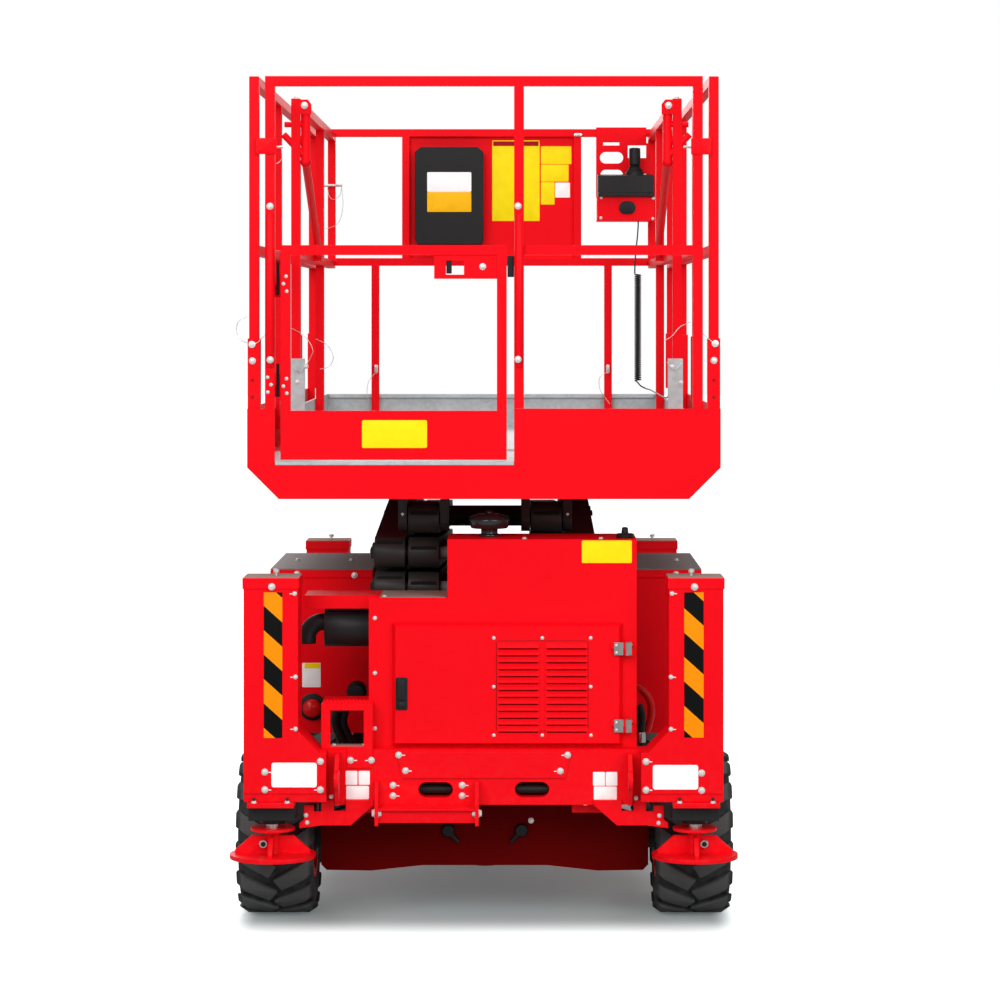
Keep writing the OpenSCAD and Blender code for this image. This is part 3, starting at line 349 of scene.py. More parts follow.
@dataclass(frozen=True)
class Moulded(Finish):
    """Moulded plastic with a leather-like pebble."""

    pebble: float = 420.0
    pebble_depth: float = 0.0006
    cloud_scale: float = 18.0

    def look(self, tree: Tree) -> dict[str, Any]:
        """Return plastic inputs: pebble cells in the normal and a slight mottle."""
        where = tree.coords()
        cells = tree.add("ShaderNodeTexVoronoi", None, {"Vector": where, "Scale": self.pebble}, "Distance")
        cloud = tree.noise(where, self.cloud_scale)
        return {"Base Color": tree.blend(cloud, self.shade(0.85), self.shade(1.2)),
                "Roughness": self.roughness + 0.14 * (cloud - 0.5),
                "Normal": tree.bump(cells, 0.18, self.pebble_depth)}


@dataclass(frozen=True)
class HazardTape(Finish):
    """Amber tape with black bands that run down to the right."""

    black: Colour = (0.005, 0.005, 0.005)
    band: float = 0.0688
    slope: float = 0.9
    start: float = 0.0
    grain_scale: float = 500.0
    grain_depth: float = 0.0004

    def look(self, tree: Tree) -> dict[str, Any]:
        """Return tape inputs: bands where the fraction of (z + slope x) over the pitch is under one half."""
        where = tree.coords()
        across = self.slope * tree.axis(where, "X") + tree.axis(where, "Z")
        bands = ((across - self.start) / (2.0 * self.band)).fraction() < 0.5
        grain = tree.noise(where, self.grain_scale, 2.0)
        return {"Base Color": tree.blend(bands, self.shade(1.0), (*self.black, 1.0)),
                "Roughness": self.roughness + 0.15 * (grain - 0.5),
                "Normal": tree.bump(grain, 0.12, self.grain_depth)}


RED = PowderCoat("red_powder_coat", "red_paint", (0.84, 0.002, 0.008),
                 roughness=0.36, specular=0.07, dust=0.03)
# Painted shade: the guard plate's skin, red darkened for the shade under the rear beam
SHADED_GUARD_RED = PowderCoat("painted_shade_guard_red", "red_paint", (0.115, 0.001, 0.001),
                       roughness=0.6, specular=0.02)
DUST_RED = PowderCoat("dusty_red_top", "red_paint", (0.30, 0.22, 0.19), roughness=0.9, specular=0.05)
CHARCOAL = PowderCoat("charcoal_satin_paint", "charcoal_paint", (0.027, 0.026, 0.025),
                      roughness=0.45, peel=0.12)
DUST_SHAFT = PowderCoat("dusty_shaft", "charcoal_paint", (0.14, 0.13, 0.125), roughness=0.6)
BLACK_METAL = PowderCoat("black_satin_paint", "black_metal", (0.012, 0.012, 0.013), roughness=0.45, peel=0.10)
LID_GREY = PowderCoat("grey_textured_lid", "grey_paint", (0.20, 0.195, 0.19), roughness=0.6, peel=0.35)
ZINC = Galvanised("galvanised_sheet", "galvanised", (0.47, 0.51, 0.52), roughness=0.45, metallic=0.25)
STEEL = Brushed("plated_steel", "steel", (0.62, 0.61, 0.59), roughness=0.30, metallic=1.0)
BOLT_ZINC = Brushed("bright_zinc_fastener", "steel", (0.72, 0.71, 0.69),
                    roughness=0.38, metallic=0.55, specular=0.5)
HINGE = Brushed("dull_hinge_steel", "steel", (0.30, 0.30, 0.29), roughness=0.4, metallic=0.8)
TYRE = Rubber("tyre_rubber", "tyre", (0.042, 0.042, 0.043), roughness=0.7)
PLASTIC = Moulded("black_moulded_plastic", "black_plastic", (0.009, 0.009, 0.010), roughness=0.46)
SMOKE = Moulded("smoked_plastic", "black_plastic", (0.013, 0.013, 0.014),
                roughness=0.16, specular=0.5, pebble=90.0)
CABLE = Moulded("cable_jacket", "black_plastic", (0.010, 0.010, 0.011), roughness=0.38, pebble=900.0)
# Painted shade: near-black plates set in slots and gaps where shade falls
RECESS_SHADE = Finish("painted_recess_shade", "black_metal", (0.004, 0.004, 0.004), roughness=0.8)
SIGN_YELLOW = Finish("yellow_plate_enamel", "red_paint", (0.93, 0.72, 0.004), roughness=0.45, specular=0.1)
SIGN_AMBER = Finish("amber_plate_enamel", "red_paint", (0.90, 0.47, 0.006), roughness=0.45, specular=0.1)
SIGN_WHITE = Finish("white_plate_enamel", "red_paint", (0.93, 0.93, 0.92), roughness=0.45, specular=0.1)
# Dark red enamel of the plate header, also painting the shadow line round the door panel and the shade in the
# sleeve's holes
RED_ENAMEL_AND_SHADE = Finish("red_enamel_and_painted_shade", "red_paint", (0.36, 0.004, 0.006), roughness=0.45, specular=0.1)
# Painted shadow: dark red strips under the louvres' lips
LOUVRE_DARK = Finish("louvre_shade", "red_paint", (0.16, 0.001, 0.001), roughness=0.8, specular=0.02)
KNOB_RED = Finish("red_knob_plastic", "red_paint", (0.66, 0.006, 0.008), roughness=0.25)
AMBER = (0.92, 0.26, 0.003)
TAPE_LEFT = HazardTape("hazard_tape_left", "red_paint", AMBER, roughness=0.5, specular=0.04, start=0.0442)
TAPE_RIGHT = HazardTape("hazard_tape_right", "red_paint", AMBER, roughness=0.5, specular=0.04, start=0.0723)


# Surfaces

@dataclass
class Patch:
    """A stretch of surface: vertices, four-sided faces and three-sided faces."""

    verts: Array
    quads: Array
    tris: Array

    def volume(self) -> float:
        """Return the signed volume, a sixth of the sum of a . (b x c) over the triangles."""
        split = np.concatenate([self.quads[:, [0, 1, 2]], self.quads[:, [0, 2, 3]], self.tris])
        a, b, c = (self.verts[split[:, i]] for i in range(3))
        return float(np.einsum("ij,ij->", a, np.cross(b, c)) / 6.0)

    def outward(self) -> "Patch":
        """Return the closed patch with its faces turned outwards."""
        if self.volume() < 0.0:
            return Patch(self.verts, self.quads[:, ::-1], self.tris[:, ::-1])
        return self

    def mirrored(self, axis: int) -> "Patch":
        """Return the patch mirrored across the plane where that coordinate is 0."""
        verts = self.verts.copy()
        verts[:, axis] *= -1.0
        return Patch(verts, self.quads[:, ::-1], self.tris[:, ::-1])


def grid_faces(rows: int, cols: int) -> Array:
    """Return the four-sided faces of a grid of vertices whose last column joins the first.

    Args:
        rows: number of rows.
        cols: number of columns.

    Returns:
        Vertex numbers, one face a line.
    """
    index = np.arange(rows * cols).reshape(rows, cols)
    index = np.hstack([index, index[:, :1]])
    return np.stack([index[:-1, :-1], index[:-1, 1:], index[1:, 1:], index[1:, :-1]], -1).reshape(-1, 4)


def loft(rings: Array) -> Patch:
    """Return a closed skin through rings of points, with a fan over the first and the last ring.

    Args:
        rings: points as (ring, point, xyz).

    Returns:
        The closed patch, facing outwards.
    """
    rows, cols = rings.shape[:2]
    ends = np.stack([rings[0].mean(axis=0), rings[-1].mean(axis=0)])
    verts = np.concatenate([rings.reshape(-1, 3), ends])
    first = np.arange(cols)
    last = (rows - 1) * cols + first
    foot = np.stack([np.full(cols, rows * cols), np.roll(first, -1), first], -1)
    head = np.stack([np.full(cols, rows * cols + 1), last, np.roll(last, -1)], -1)
    return Patch(verts, grid_faces(rows, cols), np.concatenate([foot, head])).outward()


class Face(Enum):
    """The way a fitted piece faces: right, up and outward directions on that side of the machine."""

    REAR = ((1, 0, 0), (0, 0, 1), (0, -1, 0))
    FRONT = ((-1, 0, 0), (0, 0, 1), (0, 1, 0))
    LEFT = ((0, -1, 0), (0, 0, 1), (-1, 0, 0))
    RIGHT = ((0, 1, 0), (0, 0, 1), (1, 0, 0))
    TOP = ((1, 0, 0), (0, 1, 0), (0, 0, 1))
    UNDER = ((1, 0, 0), (0, -1, 0), (0, 0, -1))

    def place(self, flat: Array, out: Array | float, at: Vec) -> Array:
        """Return points at flat offsets right and up, and out from a place.

        Args:
            flat: offsets as (..., 2).
            out: offsets outward, which spread over the leading axes.
            at: the place.

        Returns:
            Points as (..., 3).
        """
        right, up, away = (np.array(v, dtype=float) for v in self.value)
        out = np.broadcast_to(np.asarray(out, dtype=float), flat.shape[:-1])
        return np.asarray(at) + flat[..., :1] * right + flat[..., 1:2] * up + out[..., None] * away


class Corner(Enum):
    """The machine's four corners, as the signs of X and Y."""

    REAR_LEFT = (-1.0, -1.0)
    REAR_RIGHT = (1.0, -1.0)
    FRONT_LEFT = (-1.0, 1.0)
    FRONT_RIGHT = (1.0, 1.0)

    @property
    def label(self) -> str:
        """Return the corner's part of a name, such as rear_left."""
        return self.name.lower()


def rounded_box(width: float, height: float, radius: float, steps: int = 4) -> Array:
    """Return a rectangle's outline with round corners, each a quarter circle.

    Args:
        width: full width.
        height: full height.
        radius: corner radius.
        steps: points in a corner less one.

    Returns:
        Points as (n, 2), counter-clockwise.
    """
    radius = min(radius, 0.499 * width, 0.499 * height)
    turn = np.linspace(0.0, 0.25 * TAU, steps + 1)
    corner = radius * np.stack([np.cos(turn), np.sin(turn)], -1)
    half = np.array([width / 2.0 - radius, height / 2.0 - radius])
    parts = []
    for quarter, sign in enumerate(((1, 1), (-1, 1), (-1, -1), (1, -1))):
        c, s = round(math.cos(quarter * TAU / 4)), round(math.sin(quarter * TAU / 4))
        parts.append(corner @ np.array([[c, s], [-s, c]]) + half * sign)
    return np.concatenate(parts)


def ring(radius: float, sides: int = 20) -> Array:
    """Return a circle's points as (n, 2)."""
    turn = np.arange(sides) * TAU / sides
    return radius * np.stack([np.cos(turn), np.sin(turn)], -1)


def hexagon(radius: float) -> Array:
    """Return a hexagon's 12 points: radius r cos(30) / cos(angle from the nearest flat)."""
    turn = np.arange(12) * TAU / 12
    reach = radius * math.cos(TAU / 12) / np.cos((turn + TAU / 12) % (TAU / 6) - TAU / 12)
    return reach[:, None] * np.stack([np.cos(turn), np.sin(turn)], -1)


def inset(outline: Array, by: float) -> Array:
    """Return an outline moved inwards along its corners' mean normals."""
    edge = np.roll(outline, -1, axis=0) - outline
    edge /= np.linalg.norm(edge, axis=1, keepdims=True) + 1e-12
    normal = np.stack([-edge[:, 1], edge[:, 0]], -1)
    mean = normal + np.roll(normal, 1, axis=0)
    mean /= np.maximum(0.5 * np.einsum("ij,ij->i", mean, mean), 0.2)[:, None]
    return outline + by * mean


def plate(face: Face, at: Vec, outline: Array, thick: float, edge: float = 0.0008,
          sink: float = SINK) -> Patch:
    """Return a plate with a rounded outer edge: the outline is carried out and drawn in on a quarter circle.

    Args:
        face: the side that the plate faces.
        at: the place on the surface that carries it.
        outline: counter-clockwise points as (n, 2).
        thick: thickness above the surface.
        edge: radius of the rounded edge.
        sink: depth below the surface, so that no gap shows.

    Returns:
        The closed patch.
    """
    edge = min(edge, 0.9 * thick)
    turn = np.linspace(0.0, 0.25 * TAU, 4)
    heights = np.concatenate([[-sink], thick - edge + edge * np.sin(turn)])
    draws = np.concatenate([[0.0], edge * (1.0 - np.cos(turn))])
    flat = np.stack([inset(outline, draw) for draw in draws])
    return loft(face.place(flat, heights[:, None], at))


def turned(face: Face, at: Vec, profile: Sequence[tuple[float, float]], sides: int = 24) -> Patch:
    """Return a turned piece: each (radius, height) of the profile becomes a ring about the outward axis.

    Args:
        face: the side that the axis points to.
        at: the place of the axis on the surface.
        profile: radius and height pairs from the foot up.
        sides: points round.

    Returns:
        The closed patch.
    """
    circle = ring(1.0, sides)
    radius = np.array([max(p[0], 1e-5) for p in profile])
    height = np.array([p[1] for p in profile])
    return loft(face.place(radius[:, None, None] * circle[None], height[:, None], at))


def tube(path: Array, radius: float | Array, sides: int = 14, up: Vec = (0.0, 0.0, 1.0)) -> Patch:
    """Return a round tube along a path: a circle in the plane of (t x up) and t x (t x up) at each point.

    Args:
        path: points as (n, 3).
        radius: tube radius, or one for each point.
        sides: points round.
        up: a direction that the path never runs along.

    Returns:
        The closed patch.
    """
    along = np.gradient(path, axis=0)
    along /= np.linalg.norm(along, axis=1, keepdims=True)
    side = np.cross(along, np.asarray(up, dtype=float))
    side /= np.linalg.norm(side, axis=1, keepdims=True)
    over = np.cross(along, side)
    circle = ring(1.0, sides)
    size = np.broadcast_to(np.asarray(radius, dtype=float), (len(path),))[:, None, None]
    rings = path[:, None] + size * (circle[None, :, :1] * side[:, None] + circle[None, :, 1:] * over[:, None])
    return loft(rings)


def eased(points: Sequence[Vec], per_span: int = 8) -> Array:
    """Return a smooth path through points: uniform Catmull-Rom cubics, with the end spans carried on.

    Args:
        points: the points to pass through.
        per_span: samples in each span.

    Returns:
        Points as (n, 3).
    """
    p = np.asarray(points, dtype=float)
    p = np.vstack([2 * p[0] - p[1], p, 2 * p[-1] - p[-2]])
    t = np.linspace(0.0, 1.0, per_span, endpoint=False)[None, :, None]
    a, b, c, d = (p[i:len(p) - 3 + i, None] for i in range(4))
    curve = 0.5 * (2 * b + (c - a) * t + (2 * a - 5 * b + 4 * c - d) * t**2 + (3 * b - a - 3 * c + d) * t**3)
    return np.vstack([curve.reshape(-1, 3), p[-2:-1]])


def bolt(face: Face, at: Vec, size: float) -> Patch:
    """Return a hexagon head on a washer: rings of a circle, then of a hexagon with a chamfered top.

    Args:
        face: the side that the head faces.
        at: the place under the head.
        size: thread size in metres; the head's corners stand 0.95 of it from the axis.

    Returns:
        The closed patch.
    """
    head = hexagon(0.95 * size)
    disc = ring(1.25 * size, 12)
    low = 0.18 * size
    flats = [disc, disc, 0.97 * disc, head, head, 0.92 * head, 0.80 * head]
    heights = [-INK, 0.8 * low, low, low, low + 0.52 * size, low + 0.62 * size, low + 0.66 * size]
    return loft(face.place(np.stack(flats), np.array(heights)[:, None], at))


def button(face: Face, at: Vec, size: float) -> Patch:
    """Return a button head screw: a dome with a hexagon socket sunk into its top."""
    turn = np.linspace(0.0, 0.42 * math.pi, 4)
    flats = [ring(size, 12)] + [ring(size * float(np.cos(a)), 12) for a in turn]
    heights = [-INK] + [0.5 * size * float(np.sin(a)) + 0.1 * size for a in turn]
    socket = hexagon(0.38 * size)
    flats += [socket, 0.95 * socket]
    heights += [heights[-1], 0.2 * size]
    return loft(face.place(np.stack(flats), np.array(heights)[:, None], at))


def bar(a: Vec, b: Vec) -> Patch:
    """Return a square-cornered bar between two corners, drawn in by a small chamfer at both ends."""
    low, high = np.minimum(a, b), np.maximum(a, b)
    size = high - low
    chamfer = min(0.0012, 0.2 * float(size.min()))
    outline = rounded_box(size[0], size[1], chamfer, 2)
    flats = np.stack([inset(outline, chamfer), outline, outline, inset(outline, chamfer)])
    heights = np.array([0.0, chamfer, size[2] - chamfer, size[2]])
    centre = (low + high) / 2.0
    return loft(Face.TOP.place(flats, heights[:, None], (centre[0], centre[1], low[2])))


class Workshop:
    """Turns patches into finished pieces that ride on the machine's bodies."""

    smooth_angle: ClassVar[float] = math.radians(38.0)
    count: ClassVar[int] = 0

    @classmethod
    def piece(cls, name: str, patches: Iterable[Patch], finish: Finish, body: str,
              smooth: bool = True) -> bpy.types.Object:
        """Join patches into one mesh object, finish it and fix it to a body.

        Args:
            name: the piece's name.
            patches: its surfaces.
            finish: its finish.
            body: the body that it rides on.
            smooth: shade smooth between faces that meet at a small angle.

        Returns:
            The new object.
        """
        parts = list(patches)
        starts = np.cumsum([0] + [len(p.verts) for p in parts])
        verts = np.concatenate([p.verts for p in parts])
        quads = np.concatenate([p.quads + s for p, s in zip(parts, starts)])
        tris = np.concatenate([p.tris + s for p, s in zip(parts, starts)])
        mesh = bpy.data.meshes.new(name)
        mesh.vertices.add(len(verts))
        mesh.vertices.foreach_set("co", verts.astype(np.float32).ravel())
        corners = np.concatenate([quads.ravel(), tris.ravel()]).astype(np.int32)
        mesh.loops.add(len(corners))
        mesh.loops.foreach_set("vertex_index", corners)
        sizes = np.concatenate([np.full(len(quads), 4), np.full(len(tris), 3)])
        mesh.polygons.add(len(sizes))
        mesh.polygons.foreach_set("loop_start", (np.cumsum(sizes) - sizes).astype(np.int32))
        mesh.polygons.foreach_set("use_smooth", np.full(len(sizes), smooth))
        mesh.update(calc_edges=True)
        mesh.validate()
        if smooth:
            mesh.set_sharp_from_angle(angle=cls.smooth_angle)
        obj = bpy.data.objects.new(name, mesh)
        bpy.context.scene.collection.objects.link(obj)
        obj.data.materials.append(finish.material())
        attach(obj, body)
        cls.count += 1
        LOG.info("%s: %d faces on %s", name, len(sizes), body)
        return obj


# Viewpoint

@dataclass(frozen=True)
class PhotoView:
    """The photograph's viewpoint, and the way from its pixels to places on the machine."""

    eye: tuple[float, float, float] = (0.10, -10.3, 1.763)
    near: float = 9.0
    pixel: float = 0.00285
    centre_px: Pixel = (519.0, 316.0)
    frame_px: float = 1000.0
    sensor: float = 36.0

    def at(self, pixel: Pixel, y: float) -> Array:
        """Return the place on the plane at that y which the pixel shows."""
        scale = self.pixel * (y - self.eye[1]) / self.near
        return np.array([self.eye[0] + (pixel[0] - self.centre_px[0]) * scale, y,
                         self.eye[2] - (pixel[1] - self.centre_px[1]) * scale])

    def size(self, pixels: float, y: float) -> float:
        """Return the length at that y which spans a number of pixels."""
        return pixels * self.pixel * (y - self.eye[1]) / self.near

    def lens(self) -> float:
        """Return the focal length for the frame's width."""
        return self.sensor * self.near / (self.pixel * self.frame_px)

    def shift(self) -> tuple[float, float]:
        """Return the lens shift that puts the eye's axis at its pixel."""
        half = self.frame_px / 2.0
        return ((half - self.centre_px[0]) / self.frame_px, (self.centre_px[1] - half) / self.frame_px)


VIEW = PhotoView()


def sign(box: Box, y: float, thick: float, radius: float) -> Patch:
    """Return a blank plate on a rear face from its pixel box.

    Args:
        box: left, top, right and bottom pixels.
        y: the face's y.
        thick: plate thickness.
        radius: corner radius.

    Returns:
        The closed patch.
    """
    left, top, right, bottom = box
    centre = VIEW.at(((left + right) / 2.0, (top + bottom) / 2.0), y)
    outline = rounded_box(VIEW.size(right - left, y), VIEW.size(bottom - top, y), radius)
    return plate(Face.REAR, centre, outline, thick, min(SKIN, 0.4 * thick))


@dataclass(frozen=True)
class PlateSet:
    """Blank plates of one finish on a rear face of a body, made as one piece."""

    name: str
    finish: Finish
    body: str
    y: float
    boxes: tuple[Box, ...]
    thick: float
    radius: float

    def build(self) -> None:
        """Make the plates."""
        plates = [sign(box, self.y, self.thick, self.radius) for box in self.boxes]
        Workshop.piece(self.name, plates, self.finish, self.body)


def rear_bolts(pixels: Iterable[Pixel], y: float, size: float) -> list[Patch]:
    """Return hexagon heads on a rear face at pixels."""
    return [bolt(Face.REAR, VIEW.at(pixel, y), size) for pixel in pixels]


STROKE = (0.0085, 0.0024, 0.001, 2)
STROKE_DOWN = 0.3


def marks(pixels: Iterable[Pixel], y: float, way: float, reach: float = 4.9) -> list[Patch]:
    """Return the white check strokes beside bolts.

    Args:
        pixels: the bolts' pixels.
        y: the face's y.
        way: 1 for strokes to the right, -1 to the left.
        reach: pixels from the bolt to the stroke's middle.

    Returns:
        One thin plate for each bolt.
    """
    stroke = rounded_box(*STROKE)
    places = [VIEW.at((across + reach * way, down + STROKE_DOWN), y) for across, down in pixels]
    return [plate(Face.REAR, place, stroke, INK, INK_EDGE) for place in places]


def wire(pixels: Iterable[Pixel], y: float, radius: float = 0.0009) -> Patch:
    """Return a thin wire on the plane at that y, eased through pixels."""
    return tube(eased([VIEW.at(p, y) for p in pixels], per_span=6), radius, sides=8, up=ALONG_Y)


def hose(pixels: Iterable[Pixel], y: float, radius: float) -> Patch:
    """Return a hose on the plane at that y, eased through pixels."""
    return tube(eased([VIEW.at(p, y) for p in pixels]), radius, up=ALONG_Y)


def prism(face: Face, at: Vec, outline: Sequence[Pixel], thick: float) -> Patch:
    """Return a straight-sided piece: an outline's ring at the surface and another one at the thickness."""
    flat = np.asarray(outline, dtype=float)
    return loft(face.place(np.stack([flat, flat]), np.array([[-SINK], [thick]]), at))


@dataclass
class Studio:
    """A pale floor with a painted shadow under the machine, white surroundings, soft lamps and the camera."""

    floor_half: float = 60.0
    # The floor colour and the near glow are tinted cyan against the machine's red bounce light, and the low
    # glow near the machine is a painted shadow
    floor_colour: Colour = (0.46, 0.52, 0.52)
    lift_near: Colour = (0.093, 0.106, 0.106)
    lift_far: Colour = (1.0, 1.0, 1.0)
    shadow_box: Span = (0.66, 1.05)
    shadow_fade: Span = (0.11, 0.36)
    ambient: float = 0.40
    lamps: tuple[tuple[tuple[float, float, float], float, float], ...] = (
        ((-3.5, -9.5, 5.5), 5.0, 470.0),
        ((4.5, -9.0, 4.5), 5.0, 360.0),
        ((0.0, -0.5, 8.0), 7.0, 400.0),
        ((-2.0, 9.5, 5.0), 6.0, 300.0),
    )
    aim: tuple[float, float, float] = (0.0, -0.4, 1.1)

    def build(self) -> None:
        """Make the camera, the world, the lamps and the floor."""
        self.camera()
        self.world()
        for number, (place, size, power) in enumerate(self.lamps):
            self.lamp(f"lamp_{number}", place, size, power)
        self.floor()
        bpy.context.scene.view_settings.view_transform = "Standard"

    def camera(self) -> None:
        """Make the camera at the photograph's viewpoint, level and looking along +Y."""
        data = bpy.data.cameras.new("camera")
        data.sensor_width = VIEW.sensor
        data.lens = VIEW.lens()
        data.shift_x, data.shift_y = VIEW.shift()
        data.clip_end = 200.0
        camera = bpy.data.objects.new("camera", data)
        camera.location = VIEW.eye
        camera.rotation_euler = (0.25 * TAU, 0.0, 0.0)
        bpy.context.scene.collection.objects.link(camera)
        bpy.context.scene.camera = camera

    def world(self) -> None:
        """Show white to the camera, and give a dimmer even light to the rest."""
        world = bpy.data.worlds.new("studio_world")
        tree = Tree(world)
        seen = tree.add("ShaderNodeLightPath", None, None, "Is Camera Ray")
        strength = self.ambient + seen * (1.0 - self.ambient)
        light = tree.add("ShaderNodeBackground", None, {"Color": (1.0, 1.0, 1.0, 1.0), "Strength": strength})
        end = tree.nodes.new("ShaderNodeOutputWorld")
        tree.links.new(light.socket, end.inputs["Surface"])
        bpy.context.scene.world = world

    def lamp(self, name: str, place: Vec, size: float, power: float) -> None:
        """Make a square area lamp that faces the machine.

        Args:
            name: the lamp's name.
            place: where it hangs.
            size: its side.
            power: its power in watts.
        """
        data = bpy.data.lights.new(name, "AREA")
        data.size = size
        data.energy = power
        lamp = bpy.data.objects.new(name, data)
        lamp.location = place
        away = np.asarray(place) - np.asarray(self.aim)
        flat = math.hypot(away[0], away[1])
        lamp.rotation_euler = (math.atan2(flat, away[2]), 0.0, math.atan2(away[0], -away[1]))
        bpy.context.scene.collection.objects.link(lamp)

    def lift(self, tree: Tree) -> Field:
        """Return the floor's glow: low inside the machine's shadow box, a painted shadow that lets the
        rendered one show, rising over the fade's width outside.

        Args:
            tree: the floor's tree.

        Returns:
            The glow's colour as a field, by the distance from the box in fades, sqrt(dx^2 + dy^2).
        """
        where = tree.coords()
        sides = [(tree.axis(where, name).math("ABSOLUTE") - half).math("MAXIMUM", 0.0) / fade
                 for name, half, fade in zip("XY", self.shadow_box, self.shadow_fade)]
        away = (sides[0] * sides[0] + sides[1] * sides[1]).math("SQRT")
        return tree.blend(tree.steps(away, 0.0, 1.0), (*self.lift_near, 1.0), (*self.lift_far, 1.0))

    def floor(self) -> None:
        """Make the floor: pale and matt, with a glow that only the camera sees, dimmed under the machine as a
        painted shadow.
        """
        corner = self.floor_half
        mesh = bpy.data.meshes.new("floor")
        mesh.from_pydata([(-corner, -corner, 0.0), (corner, -corner, 0.0), (corner, corner, 0.0),
                          (-corner, corner, 0.0)], [], [(0, 1, 2, 3)])
        floor = bpy.data.objects.new("floor", mesh)
        material = bpy.data.materials.new("pale_floor")
        tree = Tree(material)
        matt = tree.add("ShaderNodeBsdfDiffuse", None, {"Color": (*self.floor_colour, 1.0)})
        seen = tree.add("ShaderNodeLightPath", None, None, "Is Camera Ray")
        glow = tree.add("ShaderNodeEmission", None, {"Color": self.lift(tree), "Strength": seen})
        both = tree.add("ShaderNodeAddShader", None, {0: matt, 1: glow})
        end = tree.nodes.new("ShaderNodeOutputMaterial")
        tree.links.new(both.socket, end.inputs["Surface"])
        mesh.materials.append(material)
        bpy.context.scene.collection.objects.link(floor)


# Control cable

@dataclass
class ControlCable:
    """The curly cable from the control box down to the extension deck's rear post."""

    diameter: float = 0.005
    coil_outer: float = 0.026
    coil_top: tuple[float, float, float] = (0.530, 1.130, 1.914)
    coil_length: float = 0.385
    turns: float = 50.057
    per_turn: int = 18
    start: float = 0.5 * TAU
    upper: tuple[Vec, ...] = ((532, 1150, 2107), (532, 1150, 2090), (530, 1148, 2060), (526, 1144, 2020),
                              (522, 1141, 1980), (520, 1140.5, 1950))
    lower: tuple[Vec, ...] = ((527, 1107, 1525), (539, 1080, 1511), (555, 1040, 1503), (564, 980, 1501),
                              (566, 900, 1501), (566, 700, 1501), (566, 500, 1501), (566, 300, 1501),
                              (566, 100, 1501), (566, -100, 1502), (566, -300, 1504), (566, -410, 1510),
                              (566, -500, 1522), (567, -550, 1534), (569, -580, 1540))

    def helix(self) -> Array:
        """Return the coil's centreline: a quarter bend into the first turn, then an even helix of radius r.

        The bend lies in the plane of the first turn's tangent t: r (e - t cos b + z (1 - sin b)) for b from 0
        to a quarter turn, where e points from the axis to the coil's start. Each turn drops by one pitch.
        """
        radius = 0.5 * (self.coil_outer - self.diameter)
        out = np.array([math.cos(self.start), math.sin(self.start), 0.0])
        along = np.array([-out[1], out[0], 0.0])
        bend = np.linspace(0.0, 0.25 * TAU, 9)[:-1, None]
        entry = radius * (out - along * np.cos(bend) + np.array([0.0, 0.0, 1.0]) * (1.0 - np.sin(bend)))
        turn = np.linspace(0.0, self.turns, int(self.turns * self.per_turn))
        angle = self.start + TAU * turn
        drop = self.coil_length * turn / self.turns
        coil = np.stack([radius * np.cos(angle), radius * np.sin(angle), -drop], -1)
        return np.asarray(self.coil_top) + np.vstack([entry, coil])

    def centreline(self) -> Array:
        """Return the whole cable's centreline: upper lead, coil and lower lead."""
        coil = self.helix()
        upper = eased([*(MM * np.asarray(p) for p in self.upper), coil[0]], 5)
        lower = eased([coil[-1], *(MM * np.asarray(p) for p in self.lower)], 4)
        return np.vstack([upper[:-1], coil, lower[1:]])

    def build(self) -> None:
        """Make the cable as a round curve in place of the solid cable pieces, which it hides."""
        line = self.centreline()
        curve = bpy.data.curves.new("control_cable", "CURVE")
        curve.dimensions = "3D"
        curve.bevel_depth = self.diameter / 2.0
        curve.bevel_resolution = 3
        curve.use_fill_caps = True
        spline = curve.splines.new("POLY")
        spline.points.add(len(line) - 1)
        spline.points.foreach_set("co", np.hstack([line, np.ones((len(line), 1))]).astype(np.float32).ravel())
        cable = bpy.data.objects.new("control_cable", curve)
        bpy.context.scene.collection.objects.link(cable)
        curve.materials.append(CABLE.material())
        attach(cable, "extension")
        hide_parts("cable_coil", "cable_lead_top", "cable_lead_low")


# Wheels

@dataclass
class Wheels:
    """Nuts and hub caps of the four wheels."""

    nuts: int = 8
    nut_size: float = 0.011
    nut_circle: float = 0.072
    disc_out: float = 0.044
    hub_out: float = 0.062
    cap: Profile = ((0.048, -0.001), (0.048, 0.006), (0.040, 0.014), (0.022, 0.018), (0.0, 0.019))

    def build(self) -> None:
        """Make each wheel's nuts and hub cap."""
        turn = np.arange(self.nuts) * TAU / self.nuts
        for corner in Corner:
            side = corner.value[0]
            face = Face.RIGHT if side > 0.0 else Face.LEFT
            body = f"wheel_{corner.label}"
            low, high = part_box(f"tyre_{corner.label}")
            x, y, z = ((a + b) / 2.0 for a, b in zip(low, high))
            nuts = [bolt(face, (x + side * self.disc_out, y + self.nut_circle * math.cos(a),
                                z + self.nut_circle * math.sin(a)), self.nut_size) for a in turn]
            Workshop.piece(f"wheel_nuts_{corner.label}", nuts, BOLT_ZINC, body)
            cap = turned(face, (x + side * self.hub_out, y, z), self.cap)
            Workshop.piece(f"hub_cap_{corner.label}", [cap], BLACK_METAL, body)


# Details

